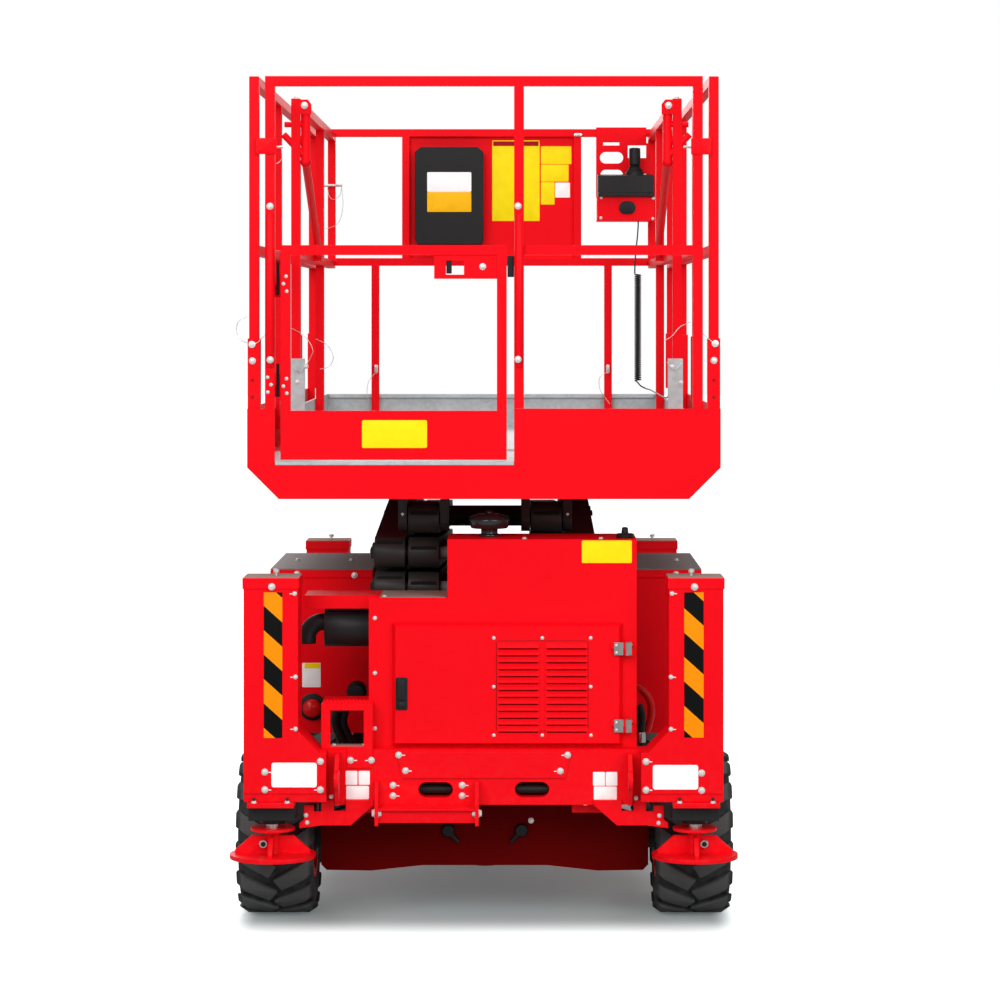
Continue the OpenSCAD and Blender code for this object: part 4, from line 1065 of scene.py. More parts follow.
@dataclass
class JackTowers:
    """Tape, blank plates, fasteners and dusty caps of the jack housings, and the jacks' bright rods."""

    face: float = -1.395
    cap: float = -1.398
    sensor: float = -1.332
    jack: Span = (0.600, 1.320)
    tops: tuple[tuple[float, float], ...] = ((-1.320, 1.024), (1.320, 0.941))
    tape_boxes: tuple[Box, ...] = ((263.8, 592.4, 282.3, 738.0), (684.2, 592.4, 703.6, 737.6))
    plates: tuple[Box, ...] = ((271.4, 762.7, 316.8, 787.4), (652.8, 765.0, 698.2, 789.6))
    side_bolts: Pixels = ((294.6, 593.5), (295.5, 676.9), (295.5, 729.0),
                          (672.0, 593.4), (671.0, 677.0), (671.0, 729.2))
    corner_bolts: Pixels = ((264.8, 772.0), (264.8, 789.7), (320.4, 761.4), (320.4, 789.7),
                            (646.0, 761.6), (646.0, 790.0), (701.6, 773.0), (701.6, 790.4))
    cap_bolts: Pixels = ((271.7, 586.8), (694.6, 587.0))
    sensor_bolts: Pixels = ((306.0, 815.2), (307.2, 822.4), (659.4, 815.6), (658.6, 823.0))
    corner_size: float = 0.0079
    cap_size: float = 0.0082
    side_size: float = 0.0053
    sensor_size: float = 0.0050
    side_reach: float = 3.6
    stud_x: float = 0.590
    stud: Profile = ((0.0036, -0.001), (0.0036, 0.010), (0.0088, 0.010), (0.0088, 0.018), (0.0050, 0.0205),
                     (0.0, 0.021))
    dusty_top: Vec = (0.156, 0.152, 0.004)
    ledge: Vec = (0.066, 0.377, 0.391)
    ledge_y: Span = (-1.412, -1.370)
    nut_x: float = 0.047
    nut_y: float = -1.4025
    nut_size: float = 0.0072
    nut_stud: Profile = ((0.004, 0.003), (0.004, 0.013), (0.003, 0.0145), (0.0, 0.0146))
    rod_z: float = 0.3101
    rod: Profile = ((0.02015, 0.0), (0.02015, 0.42))
    pad_bolt: Vec = (0.026, 0.006, 0.264)
    collar: Profile = ((0.0125, -0.001), (0.0125, 0.010), (0.0105, 0.0125), (0.0, 0.0125))
    collar_centre: Profile = ((0.0075, 0.012), (0.0072, 0.0136), (0.0, 0.0137))

    def build(self) -> None:
        """Make the towers' trim."""
        for box, tape in zip(self.tape_boxes, (TAPE_LEFT, TAPE_RIGHT)):
            PlateSet(tape.name, tape, "chassis", self.face, (box,), thick=0.0006, radius=0.001).build()
        PlateSet("tower_plates", SIGN_WHITE, "chassis", self.face, self.plates,
                 thick=0.0015, radius=0.007).build()
        bolts = rear_bolts(self.corner_bolts, self.face, self.corner_size)
        bolts += rear_bolts(self.cap_bolts, self.cap, self.cap_size)
        bolts += rear_bolts(self.side_bolts, self.face, self.side_size)
        bolts += rear_bolts(self.sensor_bolts, self.sensor, self.sensor_size)
        Workshop.piece("tower_bolts", bolts + self.top_studs(), BOLT_ZINC, "chassis")
        strokes = marks(self.side_bolts[:3], self.face, -1.0, self.side_reach)
        strokes += marks(self.side_bolts[3:], self.face, 1.0, self.side_reach)
        strokes += marks(self.corner_bolts[:2] + self.corner_bolts[4:6], self.face, 1.0)
        strokes += marks(self.corner_bolts[3:4] + self.cap_bolts[:1], self.face, -1.0)
        Workshop.piece("tower_check_strokes", strokes, SIGN_WHITE, "chassis")
        self.caps()
        self.flanges()
        self.rods()

    def top_studs(self) -> list[Patch]:
        """Return the bolts that stand on the caps: a thin stem under a hexagon-wide head."""
        return [turned(Face.TOP, (side * self.stud_x, y, z), self.stud, sides=12)
                for y, z in self.tops for side in SIDES]

    def caps(self) -> None:
        """Make the dusty skins on the towers' tops."""
        outline = rounded_box(*self.dusty_top)
        skins = [plate(Face.TOP, (side * self.jack[0], y, z), outline, SKIN, SKIN_EDGE)
                 for y, z in self.tops for side in SIDES]
        Workshop.piece("tower_dusty_tops", skins, DUST_RED, "chassis")

    def flanges(self) -> None:
        """Make the rear flanges' front ledges, with nuts and black studs standing on them."""
        half, low, high = self.ledge
        near, far = self.ledge_y
        ledges, nuts, studs = [], [], []
        for side in SIDES:
            middle = side * self.jack[0]
            ledges.append(bar((middle - half, near, low), (middle + half, far, high)))
            for offset in (-self.nut_x, self.nut_x):
                at = (middle + offset, self.nut_y, high)
                nuts.append(bolt(Face.TOP, at, self.nut_size))
                studs.append(turned(Face.TOP, at, self.nut_stud, sides=12))
        Workshop.piece("tower_flange_ledges", ledges, RED, "chassis")
        Workshop.piece("tower_flange_nuts", nuts, BOLT_ZINC, "chassis")
        Workshop.piece("tower_flange_studs", studs, BLACK_METAL, "chassis")

    def rods(self) -> None:
        """Make the jacks' bright rod skins, and the bolts with black centres on their pads."""
        x, y = self.jack
        right, out, z = self.pad_bolt
        for corner in Corner:
            side, way = corner.value
            body = f"jack_{corner.label}"
            skin = turned(Face.TOP, (side * x, way * y, self.rod_z), self.rod, sides=32)
            at = (side * (x + right), way * (y + out), z)
            face = Face.REAR if way < 0.0 else Face.FRONT
            Workshop.piece(f"{body}_bright_rod", [skin, turned(face, at, self.collar)], STEEL, body)
            centre = turned(face, at, self.collar_centre)
            Workshop.piece(f"{body}_pad_bolt_centre", [centre], BLACK_METAL, body)


@dataclass
class RearBeam:
    """Blank plates and fasteners of the rear beam, the guard plate's folds in painted shade, and its knobs.
    """

    face: float = -1.320
    plate_face: float = -1.326
    eye_face: float = -1.332
    guard: float = -1.070
    cover_bolts: Pixels = ((398.7, 755.0), (405.5, 770.7), (567.7, 755.0), (560.3, 771.0))
    flange_bolts: Pixels = ((350.6, 760.2), (371.4, 760.2))
    ladder_bolts: Pixels = ((393.0, 785.3), (393.0, 795.7), (462.2, 785.2), (462.2, 795.7))
    eye_bolts: Pixels = ((331.2, 796.7), (636.0, 798.0))
    guard_bolts: Pixels = ((531.0, 820.5),)
    labels: tuple[Box, ...] = (
        (345.7, 770.9, 357.4, 784.8), (358.6, 770.9, 369.8, 784.8), (346.2, 785.9, 369.0, 799.3),
        (593.0, 772.0, 605.0, 785.8), (605.7, 772.0, 617.3, 785.8), (593.8, 786.5, 616.8, 800.0))
    pivots: tuple[tuple[float, Face], ...] = ((-0.308, Face.LEFT), (-0.298, Face.RIGHT), (-0.024, Face.LEFT),
                                              (-0.014, Face.RIGHT))
    pivot_yz: Span = (-1.366, 0.356)
    under_bolt: Vec = (0.290, -1.290, 0.373)
    plate_size: float = 0.0078
    eye_size: float = 0.0050
    guard_size: float = 0.0070
    pivot_size: float = 0.0105
    slot_x: float = 0.137
    slot_z: float = 0.413
    rod_y: float = -1.283
    rod_half: float = 0.046
    rod_radius: float = 0.0135
    shade_y: float = -1.256
    shade: tuple[float, float, float, int] = (0.112, 0.043, 0.0214, 6)
    shade_thick: float = 0.002
    guard_middle: Profile = ((-0.3425, 0.3385), (-0.1845, 0.1585), (0.1845, 0.1585), (0.3425, 0.3385))
    guard_wing: Profile = ((0.3410, 0.3385), (0.1830, 0.1585), (0.330, 0.1425), (0.4618, 0.1445),
                           (0.4775, 0.160), (0.4775, 0.300))
    middle_thick: float = 0.003
    wing_thick: float = 0.0008
    knobs: tuple[tuple[Pixel, Pixel], ...] = (((448.2, 830.0), (458.6, 841.4)),
                                              ((521.5, 829.7), (510.8, 841.2)))
    knob: Profile = ((0.0195, -0.001), (0.0195, 0.012), (0.016, 0.018), (0.0, 0.019))
    knob_out: float = 0.002
    lever_out: float = 0.012
    lever_radius: float = 0.0065

    def build(self) -> None:
        """Make the beam's trim."""
        PlateSet("beam_labels", SIGN_WHITE, "chassis", self.face, self.labels,
                 thick=0.0008, radius=0.003).build()
        bolts = rear_bolts(self.cover_bolts + self.flange_bolts + self.ladder_bolts, self.plate_face,
                           self.plate_size)
        bolts += rear_bolts(self.eye_bolts, self.eye_face, self.eye_size)
        bolts += rear_bolts(self.guard_bolts, self.guard - self.middle_thick, self.guard_size)
        bolts += [bolt(face, (x, *self.pivot_yz), self.pivot_size) for x, face in self.pivots]
        bolts.append(bolt(Face.UNDER, self.under_bolt, self.guard_size))
        Workshop.piece("beam_bolts", bolts, BOLT_ZINC, "chassis")
        rightward = self.cover_bolts[:2] + self.ladder_bolts + self.flange_bolts[:1]
        strokes = marks(rightward, self.plate_face, 1.0)
        strokes += marks(self.cover_bolts[2:] + self.flange_bolts[1:], self.plate_face, -1.0)
        Workshop.piece("beam_check_strokes", strokes, SIGN_WHITE, "chassis")
        self.slots()
        self.guard_plate()

    def slots(self) -> None:
        """Make the rod across each of the beam's two slots, and the dark plate behind it, painted shade in
        the slot.
        """
        rods, shades = [], []
        for x in (-self.slot_x, self.slot_x):
            path = [(x + reach, self.rod_y, self.slot_z) for reach in (-self.rod_half, 0.0, self.rod_half)]
            rods.append(tube(np.array(path), self.rod_radius, sides=20))
            at = (x, self.shade_y, self.slot_z)
            shades.append(plate(Face.REAR, at, rounded_box(*self.shade), self.shade_thick))
        Workshop.piece("beam_slot_rods", rods, BLACK_METAL, "chassis")
        Workshop.piece("beam_slot_shades", shades, RECESS_SHADE, "chassis")

    def guard_plate(self) -> None:
        """Make the guard plate's folded skin, dark red as painted shade, and its two black lever knobs."""
        at = (0.0, self.guard, 0.0)
        middle = prism(Face.REAR, at, self.guard_middle, self.middle_thick)
        wing = prism(Face.REAR, at, self.guard_wing, self.wing_thick)
        Workshop.piece("guard_plate_skin", [middle, wing, wing.mirrored(0)], SHADED_GUARD_RED, "chassis")
        knobs = []
        out = np.array([0.0, -self.lever_out, 0.0])
        for place, tip in self.knobs:
            at = VIEW.at(place, self.guard - self.knob_out)
            end = VIEW.at(tip, self.guard - self.knob_out)
            knobs.append(turned(Face.REAR, at, self.knob))
            lever = np.stack([at + out, (at + end) / 2.0 + out, end + out])
            knobs.append(tube(lever, self.lever_radius, sides=12, up=ALONG_Y))
        Workshop.piece("guard_plate_knobs", knobs, PLASTIC, "chassis")


@dataclass
class EngineBay:
    """Door furniture, the cover's plate and cap, the bays' fittings and the serrated step."""

    cover: float = -1.262
    door: float = -1.2883
    side_box: float = -0.735
    cover_plate: Box = (581.8, 540.5, 631.8, 563.0)
    top_bolts: tuple[Vec, ...] = ((0.115, -1.243, 1.124), (0.335, -1.243, 1.124), (-0.428, -1.290, 0.538),
                                  (-0.342, -1.290, 0.538), (-0.286, -1.235, 0.957))
    top_size: float = 0.0062
    post_bolts: Pixels = ((374.9, 618.0), (374.9, 673.0), (374.9, 728.5))
    post_size: float = 0.0050
    cap_at: Vec = (0.405, -1.205, 1.124)
    cap: Profile = ((0.024, -0.001), (0.025, 0.010), (0.022, 0.013), (0.010, 0.014), (0.009, 0.028),
                    (0.006, 0.031), (0.0, 0.0315))
    dusty_tops: tuple[tuple[Vec, Vec], ...] = (((-0.2035, -1.142, 0.957), (0.190, 0.232, 0.006)),
                                               ((-0.392, -1.285, 0.538), (0.134, 0.050, 0.003)))

    def build(self) -> None:
        """Make the cover's and the bays' trim, and then each fitted group."""
        PlateSet("cover_plate_yellow", SIGN_YELLOW, "chassis", self.cover, (self.cover_plate,),
                 thick=0.0008, radius=0.004).build()
        bolts = [bolt(Face.TOP, at, self.top_size) for at in self.top_bolts]
        bolts += rear_bolts(self.post_bolts, self.cover, self.post_size)
        Workshop.piece("bay_bolts", bolts, BOLT_ZINC, "chassis")
        Workshop.piece("filler_cap", [turned(Face.TOP, self.cap_at, self.cap)], PLASTIC, "chassis")
        dusty = [plate(Face.TOP, at, rounded_box(*size), SKIN, SKIN_EDGE) for at, size in self.dusty_tops]
        Workshop.piece("bay_dusty_tops", dusty, DUST_RED, "chassis")
        DoorFurniture(self.door).build()
        Hinges(self.door).build()
        SideBoxes(self.side_box).build()
        LadderStep().build()


@dataclass
class DoorFurniture:
    """The engine door's paddle latch and screws, with painted shadows round the louvre panel and under the
    louvres' lips.
    """

    door: float
    screws: Pixels = ((493.8, 638.0), (542.3, 638.0), (590.7, 638.0), (493.8, 686.7),
                      (590.7, 686.7), (493.8, 735.3), (542.3, 735.3), (591.0, 735.3))
    screw_size: float = 0.0056
    latch: Pixel = (401.5, 693.7)
    latch_base: Vec = (0.034, 0.093, 0.005)
    latch_depth: Span = (0.004, 0.0012)
    paddle: Vec = (0.025, 0.060, 0.004)
    paddle_depth: Span = (0.009, 0.002)
    paddle_up: float = 0.012
    lock: Profile = ((0.0095, 0.0), (0.0095, 0.0065), (0.0075, 0.0078), (0.0, 0.0079))
    lock_up: float = -0.032
    panel: Box = (496.4, 640.8, 588.0, 731.0)
    panel_radius: float = 0.009
    line_radius: float = 0.0011
    louvre_grid: tuple[float, float, float, float] = (0.120, 0.018, 0.296, 0.584)
    louvre_pitch: float = 0.0198
    louvre_rows: int = 13
    shade_short: float = 0.008
    shade_high: float = 0.0044
    shade_radius: float = 0.0012
    shade_drop: float = 0.0083

    def build(self) -> None:
        """Make the latch, the screws, and the painted shadows round the panel and under the louvres."""
        at = VIEW.at(self.latch, self.door)
        base = plate(Face.REAR, at, rounded_box(*self.latch_base), *self.latch_depth)
        paddle_at = at + np.array([0.0, 0.0, self.paddle_up])
        paddle = plate(Face.REAR, paddle_at, rounded_box(*self.paddle), *self.paddle_depth)
        lock = turned(Face.REAR, at + np.array([0.0, 0.0, self.lock_up]), self.lock)
        Workshop.piece("door_latch", [base, paddle, lock], PLASTIC, "engine_door")
        screws = [button(Face.REAR, VIEW.at(p, self.door), self.screw_size) for p in self.screws]
        Workshop.piece("door_screws", screws, BOLT_ZINC, "engine_door")
        self.panel_line()
        self.louvre_lip_shadows()

    def panel_line(self) -> None:
        """Make the painted shadow line round the louvre panel's recess, a thin dark tube along a rounded
        rectangle.
        """
        left, top, right, bottom = self.panel
        centre = VIEW.at(((left + right) / 2.0, (top + bottom) / 2.0), self.door)
        width, height = VIEW.size(right - left, self.door), VIEW.size(bottom - top, self.door)
        outline = rounded_box(width, height, self.panel_radius, steps=5)
        line = Face.REAR.place(np.vstack([outline, outline[:1]]), 0.0, centre)
        rim = tube(line, self.line_radius, sides=8, up=ALONG_Y)
        Workshop.piece("door_panel_shadow_line", [rim], RED_ENAMEL_AND_SHADE, "engine_door")

    def louvre_lip_shadows(self) -> None:
        """Make the painted shadows under the louvres' lips, dark strips in rows at one pitch in two columns.
        """
        width, gap, right, low = self.louvre_grid
        outline = rounded_box(width - self.shade_short, self.shade_high, self.shade_radius, steps=2)
        slots = []
        for column in range(2):
            for row in range(self.louvre_rows):
                x = right - width / 2.0 - column * (width + gap)
                z = low + row * self.louvre_pitch - self.shade_drop
                slots.append(plate(Face.REAR, (x, self.door, z), outline, INK, INK_EDGE))
        Workshop.piece("louvre_lip_shadows", slots, LOUVRE_DARK, "engine_door")


@dataclass
class Hinges:
    """The engine door's two hinges: a leaf on the door, one on the cover, a knuckle and screws."""

    door: float
    heights: Span = (0.576, 0.796)
    span: Span = (-0.001, 0.036)
    leaf_x: Span = (0.371, 0.398)
    leaf_face: float = -1.2978
    fixed_x: Span = (0.4125, 0.4215)
    fixed_y: Span = (-1.2995, -1.262)
    knuckle_at: Span = (0.410, -1.2913)
    knuckle: Profile = ((0.0082, 0.0), (0.0082, 0.037))
    screw_ups: Span = (0.007, 0.028)
    screw_x: float = 0.378
    screw_size: float = 0.0042
    fixed_screw_y: float = -1.2760
    fixed_screw_size: float = 0.0040

    def build(self) -> None:
        """Make the hinges' four pieces."""
        leaves, fixed, screws, fixed_screws = [], [], [], []
        for z in self.heights:
            low, high = z + self.span[0], z + self.span[1]
            leaves.append(bar((self.leaf_x[0], self.leaf_face, low), (self.leaf_x[1], self.door, high)))
            fixed.append(bar((self.fixed_x[0], self.fixed_y[0], low),
                             (self.fixed_x[1], self.fixed_y[1], high)))
            fixed.append(turned(Face.TOP, (*self.knuckle_at, low), self.knuckle))
            for up in self.screw_ups:
                screws.append(button(Face.REAR, (self.screw_x, self.leaf_face, z + up), self.screw_size))
                at = (self.fixed_x[1], self.fixed_screw_y, z + up)
                fixed_screws.append(button(Face.RIGHT, at, self.fixed_screw_size))
        Workshop.piece("door_hinge_leaves", leaves, HINGE, "engine_door")
        Workshop.piece("door_hinge_screws", screws, BOLT_ZINC, "engine_door")
        Workshop.piece("cover_hinge_leaves", fixed, HINGE, "chassis")
        Workshop.piece("cover_hinge_screws", fixed_screws, BOLT_ZINC, "chassis")


@dataclass
class SideBoxes:
    """Lid bolts, blank plates, the stop button, hoses and fittings of the bays beside the engine."""

    face: float
    lid_x: Span = (0.424, 0.592)
    lid_y: float = -0.415
    lid_size: float = 0.0075
    flange: float = -0.740
    flange_bolts: Pixels = ((297.0, 574.0), (354.5, 575.2), (676.0, 574.2))
    flange_size: float = 0.0078
    white: Box = (302.2, 662.9, 320.7, 687.2)
    white_thick: float = 0.0008
    yellow: Box = (304.5, 663.2, 320.2, 668.4)
    knob: Pixel = (312.6, 707.0)
    knob_ring: Profile = ((0.041, -0.001), (0.041, 0.004), (0.036, 0.006), (0.0, 0.006))
    knob_dome: Profile = ((0.016, 0.005), (0.016, 0.020), (0.027, 0.022), (0.028, 0.030), (0.024, 0.040),
                          (0.013, 0.046), (0.0, 0.048))
    valve: Pixel = (356.5, 692.0)
    valve_y: float = -0.860
    valve_body: Profile = ((0.030, -0.04), (0.030, 0.0), (0.022, 0.004), (0.022, 0.016), (0.010, 0.018),
                           (0.0, 0.018))
    hose_starts: tuple[tuple[Pixel, float], ...] = (((338.0, 707.0), -0.900), ((346.0, 706.0), -0.888))
    hose_sways: Pixels = ((-3.0, 722.0), (2.0, 736.0), (9.0, 752.0))
    hose_radius: float = 0.013
    red_hose: Pixels = ((634.0, 686.0), (642.0, 690.0), (650.0, 701.0), (651.0, 716.0),
                        (646.0, 732.0))
    red_hose_y: float = -0.950
    red_hose_radius: float = 0.011
    black_hose: Pixels = ((638.0, 705.0), (641.0, 716.0), (640.0, 728.0), (640.0, 744.0))
    black_hose_y: float = -0.985
    black_hose_radius: float = 0.014
    fitting: Pixel = (640.0, 738.0)
    fitting_profile: Profile = ((0.0165, -0.012), (0.0165, 0.012), (0.015, 0.018))

    def build(self) -> None:
        """Make the lids' bolts and both bays' fittings."""
        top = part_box("side_box_lids")[1][2]
        bolts = [bolt(Face.TOP, (side * x, self.lid_y, top), self.lid_size)
                 for side in SIDES for x in self.lid_x]
        bolts += rear_bolts(self.flange_bolts, self.flange, self.flange_size)
        Workshop.piece("side_box_bolts", bolts, BOLT_ZINC, "chassis")
        self.left_bay()
        self.right_bay()

    def left_bay(self) -> None:
        """Make the left bay's blank plates, stop button, valve and hoses."""
        PlateSet("bay_plate_white", SIGN_WHITE, "chassis", self.face, (self.white,),
                 thick=self.white_thick, radius=0.002).build()
        PlateSet("bay_plate_yellow", SIGN_YELLOW, "chassis", self.face - self.white_thick, (self.yellow,),
                 thick=INK, radius=0.001).build()
        knob = VIEW.at(self.knob, self.face)
        Workshop.piece("stop_button_ring", [turned(Face.REAR, knob, self.knob_ring)], BLACK_METAL, "chassis")
        dome = turned(Face.REAR, knob, self.knob_dome, sides=32)
        Workshop.piece("stop_button", [dome], KNOB_RED, "chassis")
        hoses = [turned(Face.REAR, VIEW.at(self.valve, self.valve_y), self.valve_body)]
        for start, y in self.hose_starts:
            spots = (start, *((start[0] + sway, down) for sway, down in self.hose_sways))
            hoses.append(hose(spots, y, self.hose_radius))
        Workshop.piece("bay_valve_and_hoses", hoses, BLACK_METAL, "chassis")

    def right_bay(self) -> None:
        """Make the right bay's hoses and fitting."""
        red = hose(self.red_hose, self.red_hose_y, self.red_hose_radius)
        Workshop.piece("bay_red_hose", [red], KNOB_RED, "chassis")
        black = hose(self.black_hose, self.black_hose_y, self.black_hose_radius)
        Workshop.piece("bay_black_hose", [black], BLACK_METAL, "chassis")
        fitting = turned(Face.TOP, VIEW.at(self.fitting, self.black_hose_y), self.fitting_profile)
        Workshop.piece("bay_fitting", [fitting], STEEL, "chassis")


@dataclass
class LadderStep:
    """The serrated top of the entry step."""

    left: float = -0.463
    right: float = -0.316
    top: float = 0.660
    row_y: Span = (-1.311, 0.024)
    margin: float = 0.010
    pitch: float = 0.0105
    foot: float = 0.46
    crest: float = 0.16
    tall: float = 0.010
    thick: float = 0.003
    sink: float = 0.0005

    def build(self) -> None:
        """Make the step's teeth: two rows of blunt triangular prisms along X, half a pitch apart."""
        foot, crest = self.foot * self.pitch, self.crest * self.pitch
        tooth = ((-foot, 0.0), (foot, 0.0), (crest, self.tall), (-crest, self.tall))
        count = int((self.right - self.left - self.margin) / self.pitch)
        teeth = []
        for row in range(2):
            y = self.row_y[0] + self.row_y[1] * row
            for number in range(count):
                x = self.left + self.margin + (number + 0.5 * (row % 2)) * self.pitch
                teeth.append(prism(Face.REAR, (x, y, self.top - self.sink), tooth, self.thick))
        Workshop.piece("step_teeth", teeth, RED, "chassis", smooth=False)


@dataclass
class ScissorStack:
    """Painted shade in the arms' slots, keeper bolts and dusty shafts of the scissor arms."""

    levels: int = 4
    arm: float = 1.900
    rise: float = 0.103
    base: Span = (-0.960, 0.755)
    boss: float = 0.046
    keeper_x: float = 0.333
    keeper_along: float = 0.020
    keeper_up: float = 0.006
    keeper_size: float = 0.0075
    inner_x: Span = (0.136, 0.226)
    outer_x: Span = (0.236, 0.326)
    inner_up: float = 0.014
    outer_up: float = 0.028
    slot_margin: float = 0.012
    shade_high: float = 0.014
    shade_radius: float = 0.0065
    slot_depth: tuple[float, float, float] = (0.0008, 0.0004, 0.006)
    shaft_x: float = -0.134
    shaft: Profile = ((0.0184, 0.0), (0.0184, 0.268))
    lug: Vec = (0.243, -1.001, 1.180)
    lug_size: float = 0.0050

    def on_outer(self, level: int, along: float, up: float) -> tuple[float, float]:
        """Return y and z of a place on an outer arm, turned by the stowed angle asin(rise / arm).

        Args:
            level: the arm's level, from 1.
            along: metres from the rear pin.
            up: metres above the arm's axis.

        Returns:
            The place's y and z.
        """
        angle = math.asin(self.rise / self.arm)
        c, s = math.cos(angle), math.sin(angle)
        z = self.base[1] + (level - 1) * self.rise
        return self.base[0] + along * c - up * s, z + along * s + up * c

    def slot(self, x: tuple[float, float], z: float, up: float) -> list[Patch]:
        """Return both sides' dark plates, painted shade of the slots, on the round rear ends of arms,
        sqrt(r^2 - up^2) behind the pin.
        """
        y = self.base[0] - math.sqrt(self.boss**2 - up**2)
        outline = rounded_box(x[1] - x[0] - self.slot_margin, self.shade_high, self.shade_radius)
        middle = (x[0] + x[1]) / 2.0
        return [plate(Face.REAR, (side * middle, y, z + up), outline, *self.slot_depth) for side in SIDES]

    def keepers(self, level: int) -> list[Patch]:
        """Return a level's keeper bolts, two beside each pin but the lowest rear one, on both sides."""
        bolts = []
        for along in (0.0, self.arm / 2.0, self.arm):
            for offset in (-self.keeper_along, self.keeper_along):
                y, z = self.on_outer(level, along + offset, self.keeper_up)
                if level > 1 or along > 0.0:
                    bolts.append(bolt(Face.RIGHT, (self.keeper_x, y, z), self.keeper_size))
                    bolts.append(bolt(Face.LEFT, (-self.keeper_x, y, z), self.keeper_size))
        return bolts

    def build(self) -> None:
        """Make the stack's trim, level by level."""
        for level in range(1, self.levels + 1):
            outer, inner = f"arm_outer_{level}", f"arm_inner_{level}"
            z = self.base[1] + (level - 1) * self.rise
            Workshop.piece(f"keeper_bolts_{level}", self.keepers(level), BLACK_METAL, outer)
            # Painted shade: dark plates at the slots on the arms' round rear ends
            Workshop.piece(f"outer_slots_{level}", self.slot(self.outer_x, z, self.outer_up), RECESS_SHADE, outer)
            inner_slot_shades = self.slot(self.inner_x, z + self.rise, self.inner_up)
            Workshop.piece(f"inner_slots_{level}", inner_slot_shades, RECESS_SHADE, inner)
            shaft = turned(Face.RIGHT, (self.shaft_x, self.base[0], z), self.shaft, sides=32)
            Workshop.piece(f"dusty_shaft_{level}", [shaft], DUST_SHAFT, outer)
        x, y, z = self.lug
        lugs = [bolt(Face.REAR, (side * x, y, z), self.lug_size) for side in SIDES]
        Workshop.piece("platform_lug_bolts", lugs, BOLT_ZINC, "platform")


@dataclass
class PlatformCage:
    """Rail bolts, clips and lanyards, gate furniture and the grey sill of the platform."""

    rail: float = -1.300
    strut: float = -1.3072
    sleeve: float = -1.2951
    pin_y: float = -1.290
    strut_bolts: Pixels = ((270.0, 206.2), (518.0, 206.0))
    spacer_bolts: Pixels = ((270.3, 359.8), (518.0, 359.4))
    spacer: float = 0.0195
    spacer_radius: float = 0.0092
    sleeve_bolts: Pixels = ((252.4, 360.8), (714.0, 360.4))
    post_bolts: Pixels = ((267.4, 275.2), (272.0, 282.5), (267.4, 290.0), (267.5, 377.3),
                          (271.0, 384.7), (267.8, 392.2))
    big_size: float = 0.0080
    button_size: float = 0.0056
    rings: Pixels = ((252.0, 344.5), (715.2, 343.6))
    ring_profile: Profile = ((0.010, -0.001), (0.010, 0.004), (0.006, 0.005), (0.0, 0.005))
    holes: Pixels = ((714.0, 380.2), (714.0, 397.3), (252.4, 380.2), (252.4, 397.3))
    hole_profile: Profile = ((0.0052, -0.001), (0.0052, 0.0004), (0.0, 0.0004))
    clips: tuple[Box, ...] = ((256.0, 138.0, 276.6, 154.2), (691.0, 138.2, 711.2, 154.6))
    pins: tuple[tuple[Pixel, Pixel], ...] = (((276.0, 147.0), (283.2, 146.6)),
                                             ((683.6, 147.0), (692.0, 147.2)))
    pin_radius: float = 0.0035
    lanyards: tuple[Pixels, ...] = (
        ((248.5, 316.0), (239.0, 321.0), (236.5, 331.0), (241.0, 340.0), (249.0, 343.5)),
        ((252.5, 345.0), (258.0, 342.0), (265.8, 334.4)),
        ((701.8, 332.6), (708.0, 338.0), (713.5, 343.0)),
        ((281.5, 148.0), (281.8, 158.0), (278.0, 163.0), (275.5, 163.5)))
    lanyard_out: float = 0.004
    sheet: tuple[Vec, Vec] = ((-0.668, -1.2945, 1.346), (0.668, -0.616, 1.3482))
    sill: tuple[Vec, Vec] = ((-0.5955, -1.2998, 1.3375), (0.0855, -1.2940, 1.3482))

    def build(self) -> None:
        """Make the cage's trim, the gate's furniture and the deck's floor sheet."""
        bolts = rear_bolts(self.strut_bolts, self.strut, self.big_size)
        bolts += rear_bolts(self.sleeve_bolts, self.sleeve, self.big_size)
        bolts += rear_bolts(self.spacer_bolts, self.strut - self.spacer, self.big_size)
        spacer = ((self.spacer_radius, -0.001), (self.spacer_radius, self.spacer))
        bolts += [turned(Face.REAR, VIEW.at(p, self.strut), spacer) for p in self.spacer_bolts]
        bolts += [button(Face.REAR, VIEW.at(p, self.rail), self.button_size) for p in self.post_bolts]
        bolts += [turned(Face.REAR, VIEW.at(p, self.sleeve), self.ring_profile) for p in self.rings]
        Workshop.piece("cage_bolts", bolts, BOLT_ZINC, "platform")
        # Painted shade: dark red discs at the sleeve's holes
        holes = [turned(Face.REAR, VIEW.at(p, self.sleeve), self.hole_profile) for p in self.holes]
        Workshop.piece("sleeve_hole_shades", holes, RED_ENAMEL_AND_SHADE, "platform")
        PlateSet("rail_clips", RED, "platform", self.rail, self.clips, thick=0.004, radius=0.003).build()
        wires = [wire(points, self.sleeve - self.lanyard_out) for points in self.lanyards]
        Workshop.piece("rail_pins_and_lanyards", self.rail_pins() + wires, STEEL, "platform")
        Gate(self.rail, self.button_size, self.big_size).build()
        Workshop.piece("deck_floor_sheet", [bar(*self.sheet), bar(*self.sill)], ZINC, "platform")

    def rail_pins(self) -> list[Patch]:
        """Return the rails' pins, each a straight tube through its two ends and its middle."""
        pins = []
        for a, b in self.pins:
            spots = (a, ((a[0] + b[0]) / 2.0, a[1]), b)
            pins.append(tube(np.stack([VIEW.at(p, self.pin_y) for p in spots]), self.pin_radius, sides=12))
        return pins


